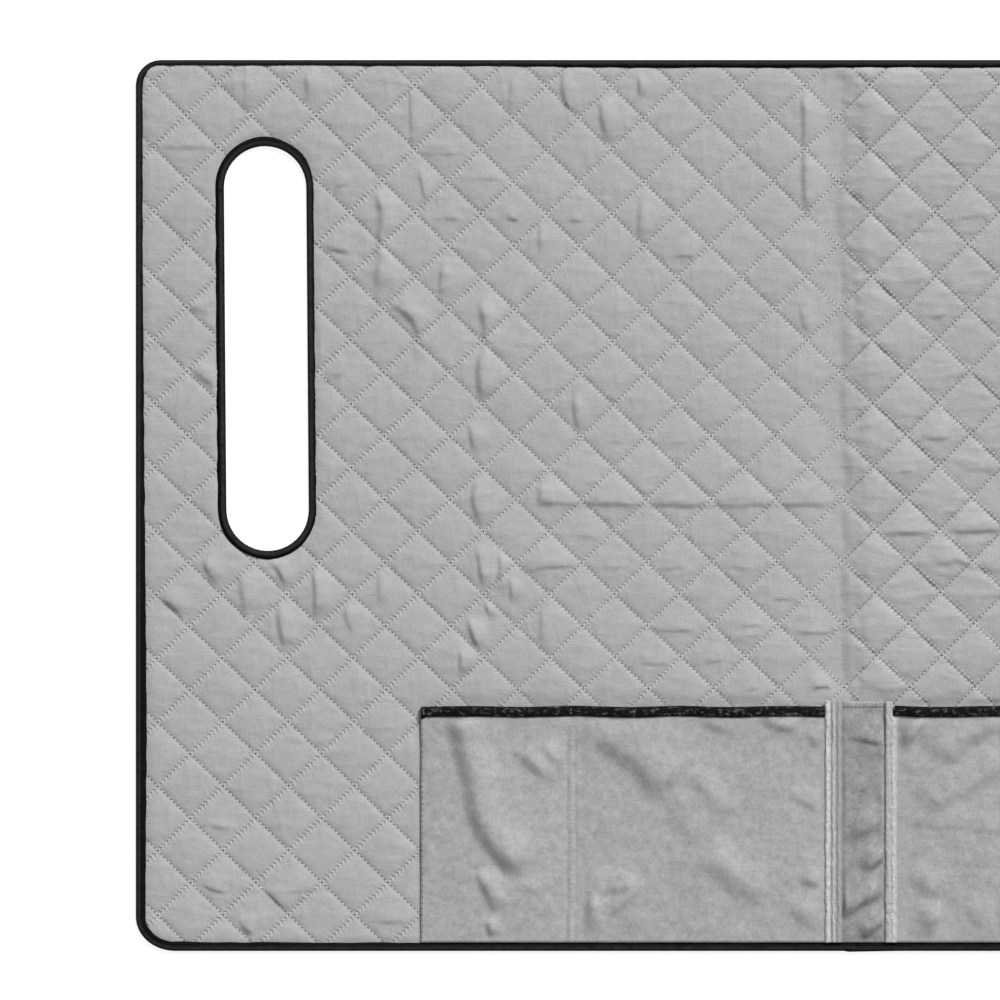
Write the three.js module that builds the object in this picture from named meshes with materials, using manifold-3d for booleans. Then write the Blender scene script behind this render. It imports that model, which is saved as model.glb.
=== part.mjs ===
// Golf cart bench seat cover of quilted cloth, lying flat with its face up.
// Millimetres. +X runs along the bench, +Y to the cover's back edge, +Z up. The underside lies at Z = 0.

import * as THREE from 'three';
import { mergeVertices } from 'three/addons/utils/BufferGeometryUtils.js';
import Module from 'manifold-3d';

const wasm = await Module();
wasm.setup();

const { clamp, lerp, smoothstep } = THREE.MathUtils;

// Cover outline
const coverWidth = 1320;
const coverDepth = 812;
const backCorner = { along: 23, deep: 23 };
const frontCorner = { along: 36, deep: 31 };
const cornerSteps = 7;
const longSideStops = [-480, -320, -160, 0, 160, 320, 480];
const shortSideStops = [-290, -200, -110, 60, 220];

// Gaps between pieces that are sewn to each other
const seamGap = 0.3;
const edgeGap = 0.4;

// Heights clear below and above the whole cover, for cutting tools
const belowAll = -5;
const aboveAll = 20;

// Quilted cloth: stitched lines lie low and each diamond stands up as a crown
const stitchLineHeight = 2.6;
const crownHeight = 4.8;
const crownUnevenness = 0.1;
const shoulderPlace = 0.3;
const shoulderRise = 0.78;
const pressedHeight = 3.4;
const pressedMargin = 4;
const pressedBackY = -176.4;
const rimPlate = { low: 1.2, high: 2.4, inset: 1.4, lap: 1.2 };

// Diamond quilting: crossings repeat at this pitch along X and along Y
const quiltPitch = 58.6;

// The machine's two families of lines run off a little over the cloth.
const risingDrift = { start: -32.0, gain: 9.3, fromX: -638, toX: -200 };
const risingDip = { depth: 3.2, x: -220, y: -130, reachX: 260, reachY: 140 };
const fallingDrift = { start: 33.6, alongGain: 5.9, downGain: 6.8, cornerGain: 7.8, fromX: -638, backY: 388 };
const fallingDriftSpan = { along: 656, down: 547, mostAlong: 1.15, mostDown: 1.1, bend: 1.5 };
const driftPasses = 5;

// Edge binding: a folded tape with a low and a high leg round the cloth's rim
const bindingLegTop = 0.9;
const bindingCavityTop = 2.7;
const bindingHeight = 4.4;
const bindingFold = 1.0;
const bindingLip = 0.6;
const bindingLowStart = 0.9;
const bindingCrownFrom = 1.8;
const bindingShoulder = { inset: 0.2, height: 3.1 };
const bindingNose = 1.6;

// Width of the edge binding as it was sewn, from the outer edge inwards
const cornerBindingWidths = { frontLeft: 9.0, frontRight: 8.1, backRight: 7.2, backLeft: 5.7 };
const bindingWidths = {
  back: [
    { at: -637, width: 5.0 },
    { at: -330, width: 5.8 },
    { at: -200, width: 7.2 },
    { at: 637, width: 7.4 },
  ],
  front: [
    { at: -624, width: 8.8 },
    { at: -500, width: 7.8 },
    { at: 624, width: 7.8 },
  ],
  left: [
    { at: -375, width: 9.2 },
    { at: -205, width: 10.2 },
    { at: -110, width: 9.4 },
    { at: 60, width: 7.8 },
    { at: 220, width: 6.5 },
    { at: 383, width: 6.3 },
  ],
  right: [
    { at: -375, width: 8.4 },
    { at: 383, width: 7.0 },
  ],
};

// Where the binding's closing end laps over its start, on the front edge
const bindingLap = { fromX: -12, toX: 34, outward: 0.8, rise: 0.5 };
const frontSideStops = [-480, -320, -160, -12.8, bindingLap.fromX, bindingLap.toX, 160, 320, 480];

// Armrest slots: round-ended openings, bound all round
const slot = { width: 74.8, length: 368.6, centreX: 541, centreY: 143, lean: 1.4 };
const slotSteps = { end: 10, side: 3 };
const slotBindingWidths = { outer: 7.9, inner: 6.9, back: 8.6, front: 7.6 };

// Pack creases and pulls in the quilted cloth, each a soft ridge along its path
const creases = [
  { name: 'pack crease', width: 26, rise: 2.2, path: [[-18, 410], [-17, 230], [-15.5, 50], [-11, -172]] },
  { name: 'line beside it', width: 14, rise: 1.0, path: [[-52, 378], [-52, 262]] },
  { name: 'long cross crease', width: 16, rise: 1.5, path: [[-292, 4], [-160, 3], [-22, 2]] },
  { name: 'lower cross crease', width: 16, rise: 1.3, path: [[-305, -52], [-150, -55], [134, -56]] },
  { name: 'short cross crease', width: 14, rise: 1.1, path: [[14, -22], [134, -23]] },
  { name: 'cross crease over pockets', width: 14, rise: 1.0, path: [[-190, -115], [-22, -116]] },
  { name: 'crooked crease', width: 16, rise: 1.3, path: [[-346, 180], [-355, 55], [-333, -50], [-363, -152]] },
  { name: 'back edge pull', width: 14, rise: 1.2, path: [[-410, 410], [-408, 320], [-399, 275]] },
  { name: 'crease right of the slot', width: 14, rise: 1.0, path: [[-441, 292], [-443, 194]] },
  { name: 'pull over the slot', width: 12, rise: 1.0, path: [[-560, 410], [-562, 358]] },
  { name: 'pull left under the slot', width: 12, rise: 1.2, path: [[-572, -62], [-558, -92]] },
  { name: 'pull under the slot', width: 12, rise: 1.2, path: [[-541, -62], [-533, -104]] },
  { name: 'pull right under the slot', width: 12, rise: 1.2, path: [[-512, -54], [-492, -82]] },
];
const creaseRoot = 1.4;
const creaseEnd = { width: 0.6, above: 0.3 };
const longCreaseStops = [0, 0.08, 0.3, 0.5, 0.7, 0.92, 1];
const shortCreaseStops = [0, 0.2, 0.8, 1];

// A strong crease is hollow underneath, and its cloth keeps this thickness.
const hollow = { fromRise: 1.2, clothThickness: 3.4, width: 0.7, root: -0.5, rimClearance: 8 };

// Front pockets: flat cloth sewn down at its ends, its bottom edge and one divider seam
const pocketMouthY = -182.6;
const pocketMouthWaves = { height: 0.5, length: 95 };
const clothThickness = 1.0;
const pocketLoft = 6.4;
const pocketRows = 11;
const mouthBand = 12;
const mouthLiftReach = 24;
const loftSquareness = 4;
const pockets = [
  { side: 'left', outer: -400.2, divider: -263.5, seam: -32.8, trimEnd: -32.8, inner: -26.2 },
  { side: 'right', outer: 396.8, divider: 260.1, seam: 33.8, trimEnd: 29.3, inner: 25.4 },
];
const compartmentSteps = { narrow: 8, wide: 12 };

// Soft folds of each pocket's cloth, from one end to the other
const pocketFolds = {
  left: [
    { from: [-384, -190], to: [-374, -235], height: 1.7, reach: 13 },
    { from: [-374, -235], to: [-334, -330], height: 1.9, reach: 13 },
    { from: [-324, -215], to: [-294, -252], height: 1.3, reach: 12 },
    { from: [-358, -338], to: [-342, -366], height: 1.2, reach: 12 },
    { from: [-244, -206], to: [-200, -246], height: 1.4, reach: 16 },
    { from: [-200, -246], to: [-146, -312], height: 1.3, reach: 17 },
    { from: [-166, -236], to: [-126, -274], height: 1.2, reach: 15 },
    { from: [-232, -350], to: [-206, -376], height: 1.1, reach: 14 },
    { from: [-84, -300], to: [-56, -262], height: 1.1, reach: 15 },
  ],
  right: [
    { from: [52, -196], to: [38, -226], height: 1.3, reach: 12 },
    { from: [40, -292], to: [126, -296], height: 1.1, reach: 13 },
    { from: [70, -216], to: [120, -256], height: 1.2, reach: 16 },
    { from: [160, -330], to: [212, -262], height: 1.2, reach: 17 },
    { from: [322, -320], to: [364, -240], height: 1.3, reach: 14 },
  ],
};

// Folded trim on each pocket mouth
const trimWidth = 9.6;
const trimLegThickness = 0.8;
const trimWeb = 0.8;
const trimHighCrown = 1.1;
const trimRound = 0.7;

// Centre strip between the pockets, with a hem at its top and a tape along each long edge
const strip = { left: -24.2, right: 23.6, top: -178, hemTop: -179, hemBottom: -184.2, hemRise: 0.7 };
const stripColumns = 5;
const stripRows = 19;
const stripSlack = { rise: 1.2, fromTape: 7, fromBottom: 12, hemLow: -205, hemHigh: -190 };
const stripFolds = [
  { from: [-14, -214], to: [20, -220], height: 2.0, reach: 9 },
  { from: [-12, -286], to: [20, -262], height: 1.6, reach: 9 },
  { from: [-14, -338], to: [20, -318], height: 2.2, reach: 9 },
  { from: [-12, -372], to: [20, -346], height: 2.6, reach: 9 },
];
const tapeThickness = 1.0;
const tapes = [
  { side: 'left', low: -32.3, high: -16.4, narrowedHigh: -16.4, narrowedLow: -32.3, top: -177 },
  { side: 'right', low: 22.2, high: 33.4, narrowedHigh: 28.9, narrowedLow: 22.2, top: -178.5 },
];
const tapeNotchY = pocketMouthY - trimWidth - 1.2;
const tapeStops = [-340, -280, -230, -204, tapeNotchY - 0.3, tapeNotchY, -186];
const tapeRaggedness = 0.3;
const tapeEdge = { rise: 0.7, run: 1.0 };

const quiltMaterial = new THREE.MeshStandardMaterial({ color: 0xacacab, roughness: 0.82, metalness: 0 });
const pocketMaterial = new THREE.MeshStandardMaterial({ color: 0xa3a3a2, roughness: 0.74, metalness: 0 });
const tapeMaterial = new THREE.MeshStandardMaterial({ color: 0xb8b8b7, roughness: 0.8, metalness: 0 });
const bindingMaterial = new THREE.MeshStandardMaterial({ color: 0x121212, roughness: 0.5, metalness: 0 });

const cover = new THREE.Group();

// Solids and meshes

function solidFrom(positions, triangles) {
  return new wasm.Manifold(new wasm.Mesh({
    numProp: 3,
    vertProperties: new Float32Array(positions),
    triVerts: new Uint32Array(triangles),
  }));
}

function solidFromGeometry(geometry) {
  geometry.deleteAttribute('normal');
  geometry.deleteAttribute('uv');
  const merged = mergeVertices(geometry);
  return solidFrom(merged.attributes.position.array, merged.index.array);
}

function addPiece(name, material, solid) {
  const { vertProperties, triVerts } = solid.getMesh();
  const geometry = new THREE.BufferGeometry();
  geometry.setAttribute('position', new THREE.Float32BufferAttribute(vertProperties, 3));
  geometry.setIndex(new THREE.Uint32BufferAttribute(triVerts, 1));
  geometry.computeVertexNormals();
  const mesh = new THREE.Mesh(geometry, material);
  mesh.name = name;
  cover.add(mesh);
}

function prism(outline, low, high) {
  const shape = new THREE.Shape(outline.map(([x, y]) => new THREE.Vector2(x, y)));
  const geometry = new THREE.ExtrudeGeometry(shape, { depth: high - low, bevelEnabled: false, steps: 1 });
  geometry.translate(0, 0, low);
  return solidFromGeometry(geometry);
}

function box(lowCorner, highCorner) {
  const [x0, y0, z0] = lowCorner;
  const [x1, y1, z1] = highCorner;
  return prism([[x0, y0], [x1, y0], [x1, y1], [x0, y1]], z0, z1);
}

// Joins a row of equal sections into one skin; section points run counter-clockwise, looking along the path.
function loft(sections, capContour) {
  const count = sections[0].length;
  const positions = sections.flat(2);
  const triangles = [];
  const bays = capContour ? sections.length - 1 : sections.length;
  for (let i = 0; i < bays; i++) {
    const here = i * count;
    const next = ((i + 1) % sections.length) * count;
    for (let k = 0; k < count; k++) {
      const l = (k + 1) % count;
      triangles.push(here + k, here + l, next + l, here + k, next + l, next + k);
    }
  }
  if (capContour) {
    const contour = capContour.map(([s, z]) => new THREE.Vector2(s, z));
    const last = (sections.length - 1) * count;
    for (const [a, b, c] of THREE.ShapeUtils.triangulateShape(contour, [])) {
      triangles.push(c, b, a, last + a, last + b, last + c);
    }
  }
  return solidFrom(positions, triangles);
}

// Gives a top skin a flat floor and walls, so that it becomes one closed body.
function closeBelow(points, triangles, floor) {
  const positions = [...points, ...points.map(([x, y]) => [x, y, floor])].flat();
  const edges = new Set();
  const all = [...triangles];
  for (const [a, b, c] of triangles) {
    all.push([c + points.length, b + points.length, a + points.length]);
    edges.add(`${a},${b}`).add(`${b},${c}`).add(`${c},${a}`);
  }
  for (const edge of edges) {
    const [a, b] = edge.split(',').map(Number);
    if (!edges.has(`${b},${a}`)) {
      all.push([b, a, a + points.length], [b, a + points.length, b + points.length]);
    }
  }
  return solidFrom(positions, all.flat());
}

function valueAlong(rows, at) {
  const after = rows.findIndex((row) => row.at >= at);
  if (after < 0) {
    return rows[rows.length - 1].width;
  }
  if (after === 0) {
    return rows[0].width;
  }
  const [a, b] = [rows[after - 1], rows[after]];
  return lerp(a.width, b.width, (at - a.at) / (b.at - a.at));
}

// Stations round the cover's outer edge, counter-clockwise, each with its inward direction

function longSide(y, stops, inward, widths) {
  return stops.map((x) => ({ x, y, nx: 0, ny: inward, width: valueAlong(widths, x) }));
}

function shortSide(x, stops, inward, widths) {
  return stops.map((y) => ({ x, y, nx: inward, ny: 0, width: valueAlong(widths, y) }));
}

function cornerStations(centre, size, startAngle, width) {
  const stations = [];
  for (let i = 0; i <= cornerSteps; i++) {
    const angle = startAngle + (i / cornerSteps) * Math.PI / 2;
    const [nx, ny] = [-Math.cos(angle) * size.deep, -Math.sin(angle) * size.along];
    const length = Math.hypot(nx, ny);
    stations.push({
      x: centre[0] + size.along * Math.cos(angle),
      y: centre[1] + size.deep * Math.sin(angle),
      nx: nx / length,
      ny: ny / length,
      width,
    });
  }
  return stations;
}

function coverStations() {
  const [right, back] = [coverWidth / 2, coverDepth / 2];
  const { back: backWidths, front: frontWidths, left: leftWidths, right: rightWidths } = bindingWidths;
  const frontX = right - frontCorner.along;
  const frontY = -back + frontCorner.deep;
  const backX = right - backCorner.along;
  const backY = back - backCorner.deep;
  const widthAt = cornerBindingWidths;
  return [
    ...longSide(-back, frontSideStops, 1, frontWidths),
    ...cornerStations([frontX, frontY], frontCorner, -Math.PI / 2, widthAt.frontRight),
    ...shortSide(right, shortSideStops, -1, rightWidths),
    ...cornerStations([backX, backY], backCorner, 0, widthAt.backRight),
    ...longSide(back, [...longSideStops].reverse(), -1, backWidths),
    ...cornerStations([-backX, backY], backCorner, Math.PI / 2, widthAt.backLeft),
    ...shortSide(-right, [...shortSideStops].reverse(), 1, leftWidths),
    ...cornerStations([-frontX, frontY], frontCorner, Math.PI, widthAt.frontLeft),
  ];
}

// Stations round an armrest slot, clockwise, each pointing away from the opening
function slotStations(sign) {
  const radius = slot.width / 2;
  const straight = slot.length / 2 - radius;
  const centreX = sign * slot.centreX;
  const stations = [];
  const add = (x, y, nx, ny, width) => {
    const leaning = sign * slot.lean * y / (slot.length / 2);
    stations.push({ x: centreX + x + leaning, y: slot.centreY + y, nx, ny, width });
  };
  const { outer, inner, back, front } = slotBindingWidths;
  const [leftWidth, rightWidth] = sign < 0 ? [outer, inner] : [inner, outer];
  for (let i = 0; i <= slotSteps.end; i++) {
    const angle = Math.PI * (1 - i / slotSteps.end);
    const [nx, ny] = [Math.cos(angle), Math.sin(angle)];
    const width = lerp(nx < 0 ? leftWidth : rightWidth, back, ny);
    add(radius * nx, straight + radius * ny, nx, ny, width);
  }
  for (let i = 1; i < slotSteps.side; i++) {
    add(radius, lerp(straight, -straight, i / slotSteps.side), 1, 0, rightWidth);
  }
  for (let i = 0; i <= slotSteps.end; i++) {
    const angle = -Math.PI * (i / slotSteps.end);
    const [nx, ny] = [Math.cos(angle), Math.sin(angle)];
    const width = lerp(nx < 0 ? leftWidth : rightWidth, front, -ny);
    add(radius * nx, -straight + radius * ny, nx, ny, width);
  }
  for (let i = 1; i < slotSteps.side; i++) {
    add(-radius, lerp(-straight, straight, i / slotSteps.side), -1, 0, leftWidth);
  }
  return stations;
}

function offsetOutline(stations, distanceAt) {
  return stations.map((station) => {
    const distance = distanceAt(station);
    return [station.x + station.nx * distance, station.y + station.ny * distance];
  });
}

// The folded tape in section: its low leg, the fold and the high leg, open towards the cloth
function bindingSection(width) {
  return [
    [bindingLowStart, 0],
    [width, 0],
    [width, bindingLegTop],
    [bindingFold, bindingLegTop],
    [bindingFold, bindingCavityTop],
    [width, bindingCavityTop],
    [width, bindingCavityTop + bindingLip],
    [width - bindingCrownFrom, bindingHeight],
    [bindingCrownFrom, bindingHeight],
    [bindingShoulder.inset, bindingShoulder.height],
    [0, bindingNose],
  ];
}

function bindingLoop(stations) {
  return loft(stations.map(({ x, y, nx, ny, width }) => {
    const { fromX, toX, outward, rise } = bindingLap;
    const isFront = y === -coverDepth / 2;
    const lap = isFront && x >= fromX ? clamp((toX - x) / (toX - fromX), 0, 1) : 0;
    return bindingSection(width).map(([s, z]) => {
      const inward = s < bindingFold / 2 ? s - lap * outward : s;
      const high = z > bindingCavityTop + bindingLip ? z + lap * rise : z;
      return [x + nx * inward, y + ny * inward, high];
    });
  }));
}

// Quilting lines

function risingLineOffset(x, y) {
  const { start, gain, fromX, toX } = risingDrift;
  const [u, v] = [(x - risingDip.x) / risingDip.reachX, (y - risingDip.y) / risingDip.reachY];
  const dip = Math.exp(-(u ** 2) - v ** 2);
  return start + gain * smoothstep(x, fromX, toX) - risingDip.depth * dip;
}

function fallingLineOffset(x, y) {
  const { start, alongGain, downGain, cornerGain, fromX, backY } = fallingDrift;
  const along = clamp((x - fromX) / fallingDriftSpan.along, 0, fallingDriftSpan.mostAlong);
  const down = clamp((backY - y) / fallingDriftSpan.down, 0, fallingDriftSpan.mostDown);
  return start + alongGain * along + (downGain + cornerGain * along) * down ** fallingDriftSpan.bend;
}

// The place of quilting coordinates: rising lines are counted by m and falling lines by n.
function quiltPlace(m, n) {
  let [x, y] = [quiltPitch * (m + n) / 2, quiltPitch * (n - m) / 2];
  for (let pass = 0; pass < driftPasses; pass++) {
    const rising = quiltPitch * m + risingLineOffset(x, y);
    const falling = quiltPitch * n + fallingLineOffset(x, y);
    [x, y] = [(rising + falling) / 2, (falling - rising) / 2];
  }
  return [x, y];
}

function underPockets(x, y) {
  const margin = 2 * pressedMargin;
  return x > pockets[0].outer - margin && x < pockets[1].outer + margin && y < pressedBackY + pressedMargin;
}

function quiltField() {
  const points = [];
  const triangles = [];
  const known = new Map();
  const vertex = (m, n, rise) => {
    const key = `${m.toFixed(3)},${n.toFixed(3)}`;
    if (!known.has(key)) {
      const [x, y] = quiltPlace(m, n);
      known.set(key, points.length);
      points.push([x, y, stitchLineHeight + rise]);
    }
    return known.get(key);
  };
  const reach = Math.ceil((coverWidth + coverDepth) / quiltPitch / 2) + 2;
  for (let m = -reach; m <= reach; m++) {
    for (let n = -reach; n <= reach; n++) {
      const [x, y] = quiltPlace(m + 0.5, n + 0.5);
      if (Math.abs(x) > coverWidth / 2 + quiltPitch / 2 || Math.abs(y) > coverDepth / 2 + quiltPitch / 2) {
        continue;
      }
      const uneven = 1 + crownUnevenness * Math.sin(1.7 * m + 2.3 * n) - crownUnevenness;
      const pressed = underPockets(x, y);
      const rise = ((pressed ? pressedHeight - 0.1 : crownHeight) - stitchLineHeight) * uneven;
      const corners = [[0, 0], [1, 0], [1, 1], [0, 1]];
      const outer = corners.map(([i, j]) => vertex(m + i, n + j, 0));
      if (pressed) {
        const centre = vertex(m + 0.5, n + 0.5, rise);
        outer.forEach((corner, k) => triangles.push([corner, outer[(k + 1) % 4], centre]));
        continue;
      }
      const ring = corners.map(([i, j]) => {
        const [a, b] = [lerp(shoulderPlace, 1 - shoulderPlace, i), lerp(shoulderPlace, 1 - shoulderPlace, j)];
        return vertex(m + a, n + b, rise * shoulderRise);
      });
      const crown = vertex(m + 0.5, n + 0.5, rise);
      for (let k = 0; k < 4; k++) {
        const l = (k + 1) % 4;
        triangles.push([outer[k], outer[l], ring[l]], [outer[k], ring[l], ring[k]]);
        triangles.push([ring[k], ring[l], crown]);
      }
    }
  }
  return closeBelow(points, triangles, belowAll);
}

// A ridge with sloping sides along a path, sinking away at both ends
function ridge(path, width, root, peak) {
  const curve = new THREE.CatmullRomCurve3(path.map(([x, y]) => new THREE.Vector3(x, y, 0)));
  const stops = path.length > 2 ? longCreaseStops : shortCreaseStops;
  const sections = stops.map((stop) => {
    const { x, y } = curve.getPointAt(stop);
    const along = curve.getTangentAt(stop);
    const atEnd = stop === 0 || stop === 1;
    const half = (atEnd ? creaseEnd.width : 1) * width / 2;
    const top = atEnd ? root + creaseEnd.above : peak;
    return [
      [x + along.y * half, y - along.x * half, root],
      [x - along.y * half, y + along.x * half, root],
      [x, y, top],
    ];
  });
  return loft(sections, [[-1, 0], [1, 0], [0, 1]]);
}

function quiltedPanel(edge, slots) {
  const toSlab = ({ width }) => width + edgeGap;
  const toLap = ({ width }) => width + edgeGap + rimPlate.lap;
  const toRim = () => rimPlate.inset;

  let cloth = quiltField();
  for (const { path, width, rise } of creases) {
    cloth = cloth.add(ridge(path, width, creaseRoot, crownHeight + rise));
  }
  cloth = cloth.intersect(prism(offsetOutline(edge, toSlab), 0, aboveAll));
  cloth = cloth.add(prism(offsetOutline(edge, toRim), rimPlate.low, rimPlate.high)
    .subtract(prism(offsetOutline(edge, toLap), 0, aboveAll)));
  for (const stations of slots) {
    cloth = cloth.subtract(prism(offsetOutline(stations, toSlab).reverse(), belowAll, aboveAll));
    cloth = cloth.add(prism(offsetOutline(stations, toLap).reverse(), rimPlate.low, rimPlate.high)
      .subtract(prism(offsetOutline(stations, toRim).reverse(), 0, aboveAll)));
  }
  const toInside = ({ width }) => width + hollow.rimClearance;
  const inside = prism(offsetOutline(edge, toInside), belowAll, aboveAll);
  for (const { path, width, rise } of creases.filter((crease) => crease.rise > hollow.fromRise)) {
    const peak = crownHeight + rise - hollow.clothThickness;
    cloth = cloth.subtract(ridge(path, hollow.width * width, hollow.root, peak).intersect(inside));
  }
  const pressed = box(
    [pockets[0].outer - pressedMargin, -coverDepth / 2, pressedHeight],
    [pockets[1].outer + pressedMargin, pressedBackY, aboveAll],
  );
  return cloth.subtract(pressed);
}

// A thin cloth on a grid of columns along X and rows along Y
function clothSheet(columns, rowCount, rowY, undersideAt, thicknessAt) {
  const rows = rowCount + 1;
  const low = [];
  const high = [];
  for (const x of columns) {
    for (let j = 0; j < rows; j++) {
      const y = rowY(j, x);
      const z = undersideAt(x, y);
      low.push([x, y, z]);
      high.push([x, y, z + thicknessAt(x, y)]);
    }
  }
  const triangles = [];
  const at = (i, j) => i * rows + j;
  const topAt = (i, j) => low.length + at(i, j);
  const quad = (a, b, c, d) => triangles.push(a, b, c, a, c, d);
  for (let i = 0; i < columns.length - 1; i++) {
    for (let j = 0; j < rowCount; j++) {
      quad(topAt(i, j), topAt(i + 1, j), topAt(i + 1, j + 1), topAt(i, j + 1));
      quad(at(i, j), at(i, j + 1), at(i + 1, j + 1), at(i + 1, j));
    }
    quad(at(i, 0), at(i + 1, 0), topAt(i + 1, 0), topAt(i, 0));
    quad(at(i + 1, rowCount), at(i, rowCount), topAt(i, rowCount), topAt(i + 1, rowCount));
  }
  const last = columns.length - 1;
  for (let j = 0; j < rowCount; j++) {
    quad(at(0, j + 1), at(0, j), topAt(0, j), topAt(0, j + 1));
    quad(at(last, j), at(last, j + 1), topAt(last, j + 1), topAt(last, j));
  }
  return solidFrom([...low, ...high].flat(), triangles);
}

function foldRise(folds, x, y) {
  let rise = 0;
  for (const { from, to, height, reach } of folds) {
    const [dx, dy] = [to[0] - from[0], to[1] - from[1]];
    const along = clamp(((x - from[0]) * dx + (y - from[1]) * dy) / (dx * dx + dy * dy), 0, 1);
    const away = Math.hypot(x - from[0] - along * dx, y - from[1] - along * dy);
    rise = Math.max(rise, height * Math.exp(-((away / reach) ** 2)));
  }
  return rise;
}

// Pockets

const clothBottomY = -coverDepth / 2 + valueAlong(bindingWidths.front, 0) + edgeGap;
const clothSeamHeight = pressedHeight + seamGap;

function mouthY(x) {
  return pocketMouthY + pocketMouthWaves.height * Math.sin(x / pocketMouthWaves.length * 2 * Math.PI);
}

// How far the trim's low leg lifts the cloth, all along the mouth
function mouthLift(y) {
  const lifted = pocketMouthY - mouthBand - 4;
  return (trimLegThickness + seamGap) * smoothstep(y, lifted - mouthLiftReach, lifted);
}

function pocketUnderside(pocket, x, y) {
  const inBand = Math.min(y, pocketMouthY - mouthBand);
  const ends = [pocket.outer, pocket.divider, pocket.seam].sort((a, b) => a - b);
  const [from, to] = x < ends[1] ? [ends[0], ends[1]] : [ends[1], ends[2]];
  const across = clamp((x - from) / (to - from), 0, 1);
  const down = clamp((pocketMouthY - inBand) / (pocketMouthY - clothBottomY), 0, 1);
  const free = (1 - Math.abs(2 * across - 1) ** loftSquareness) * (1 - down ** loftSquareness);
  const folds = foldRise(pocketFolds[pocket.side], x, inBand);
  return clothSeamHeight + mouthLift(inBand) + free * (pocketLoft + folds);
}

function steppedColumns(from, to, steps) {
  return Array.from({ length: steps + 1 }, (_, i) => lerp(from, to, i / steps));
}

function pocketColumns(pocket) {
  const narrow = steppedColumns(pocket.outer, pocket.divider, compartmentSteps.narrow);
  const wide = steppedColumns(pocket.divider, pocket.seam, compartmentSteps.wide);
  return [...new Set([...narrow, ...wide, pocket.trimEnd])].sort((a, b) => a - b);
}

function pocketCloth(pocket) {
  const columns = [...pocketColumns(pocket), pocket.inner].sort((a, b) => a - b);
  const rowY = (j, x) => {
    if (j === pocketRows) {
      return mouthY(x) - trimWeb - seamGap;
    }
    return lerp(clothBottomY, mouthY(x) - mouthBand, j / (pocketRows - 1));
  };
  return clothSheet(columns, pocketRows, rowY, (x, y) => pocketUnderside(pocket, x, y), () => clothThickness);
}

// The mouth's folded trim: a low leg under the cloth, a web round its edge and a high leg over it
function pocketTrim(pocket) {
  const lowTop = -seamGap;
  const highBottom = clothThickness + seamGap;
  const top = highBottom + trimHighCrown;
  const contour = [
    [-trimWidth, lowTop - trimLegThickness],
    [-trimRound, lowTop - trimLegThickness],
    [0, lowTop],
    [0, top - trimRound],
    [-2 * trimRound, top],
    [-trimWidth + trimRound, top],
    [-trimWidth, top - trimRound],
    [-trimWidth, highBottom],
    [-trimWeb, highBottom],
    [-trimWeb, lowTop],
    [-trimWidth, lowTop],
  ];
  const sections = pocketColumns(pocket).map((x) => {
    const under = pocketUnderside(pocket, x, mouthY(x) - mouthBand);
    return contour.map(([s, z]) => [x, mouthY(x) + s, under + z]);
  });
  return loft(sections, contour);
}

// Centre strip and its tapes

function centreStrip() {
  const [freeFrom, freeTo] = [tapes[0].high + 0.2, tapes[1].low - 0.5];
  const free = steppedColumns(freeFrom + 1, freeTo - 1, stripColumns);
  const columns = [strip.left, freeFrom, ...free, freeTo, strip.right];
  const ends = [strip.hemBottom - 1, strip.hemBottom, strip.hemTop, strip.top];
  const bodyRows = stripRows - ends.length + 1;
  const rowY = (j) => (j < bodyRows ? lerp(clothBottomY, ends[0], j / bodyRows) : ends[j - bodyRows]);
  const undersideAt = (x, y) => {
    const { rise, fromTape, fromBottom, hemLow, hemHigh } = stripSlack;
    const inside = smoothstep(x, freeFrom, freeFrom + fromTape) * smoothstep(-x, -freeTo, fromTape - freeTo);
    const away = smoothstep(y, clothBottomY, clothBottomY + fromBottom) * smoothstep(-y, -hemHigh, -hemLow);
    return clothSeamHeight + inside * away * (rise + foldRise(stripFolds, x, y));
  };
  const isHem = (y) => y <= strip.hemTop && y >= strip.hemBottom;
  const isFree = (x) => x > freeFrom && x < freeTo;
  const thicknessAt = (x, y) => clothThickness + (isHem(y) && isFree(x) ? strip.hemRise : 0);
  return clothSheet(columns, stripRows, rowY, undersideAt, thicknessAt);
}

function stripTape(tape) {
  const sections = [clothBottomY, ...tapeStops, tape.top].map((y, i) => {
    const narrowed = y >= tapeNotchY;
    const low = narrowed ? tape.narrowedLow : tape.low;
    const high = narrowed ? tape.narrowedHigh : tape.high;
    const left = low + (narrowed ? 0 : tapeRaggedness * Math.sin(5 * i));
    const under = clothSeamHeight + clothThickness + seamGap + mouthLift(y);
    return [
      [high, y, under],
      [left, y, under],
      [left, y, under + tapeEdge.rise],
      [left + tapeEdge.run, y, under + tapeThickness],
      [high - tapeEdge.run, y, under + tapeThickness],
      [high, y, under + tapeEdge.rise],
    ];
  });
  const { rise, run } = tapeEdge;
  const half = 5;
  return loft(sections, [[-half, 0], [half, 0], [half, rise], [half - run, tapeThickness],
    [run - half, tapeThickness], [-half, rise]]);
}

const edge = coverStations();
const slotEdges = [slotStations(-1), slotStations(1)];

addPiece('quilted_panel', quiltMaterial, quiltedPanel(edge, slotEdges));
addPiece('edge_binding', bindingMaterial, bindingLoop(edge));
addPiece('slot_binding_left', bindingMaterial, bindingLoop(slotEdges[0]));
addPiece('slot_binding_right', bindingMaterial, bindingLoop(slotEdges[1]));
for (const pocket of pockets) {
  addPiece(`pocket_${pocket.side}`, pocketMaterial, pocketCloth(pocket));
  addPiece(`pocket_trim_${pocket.side}`, bindingMaterial, pocketTrim(pocket));
}
addPiece('centre_strip', pocketMaterial, centreStrip());
for (const tape of tapes) {
  addPiece(`strip_tape_${tape.side}`, tapeMaterial, stripTape(tape));
}

export default cover;
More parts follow.
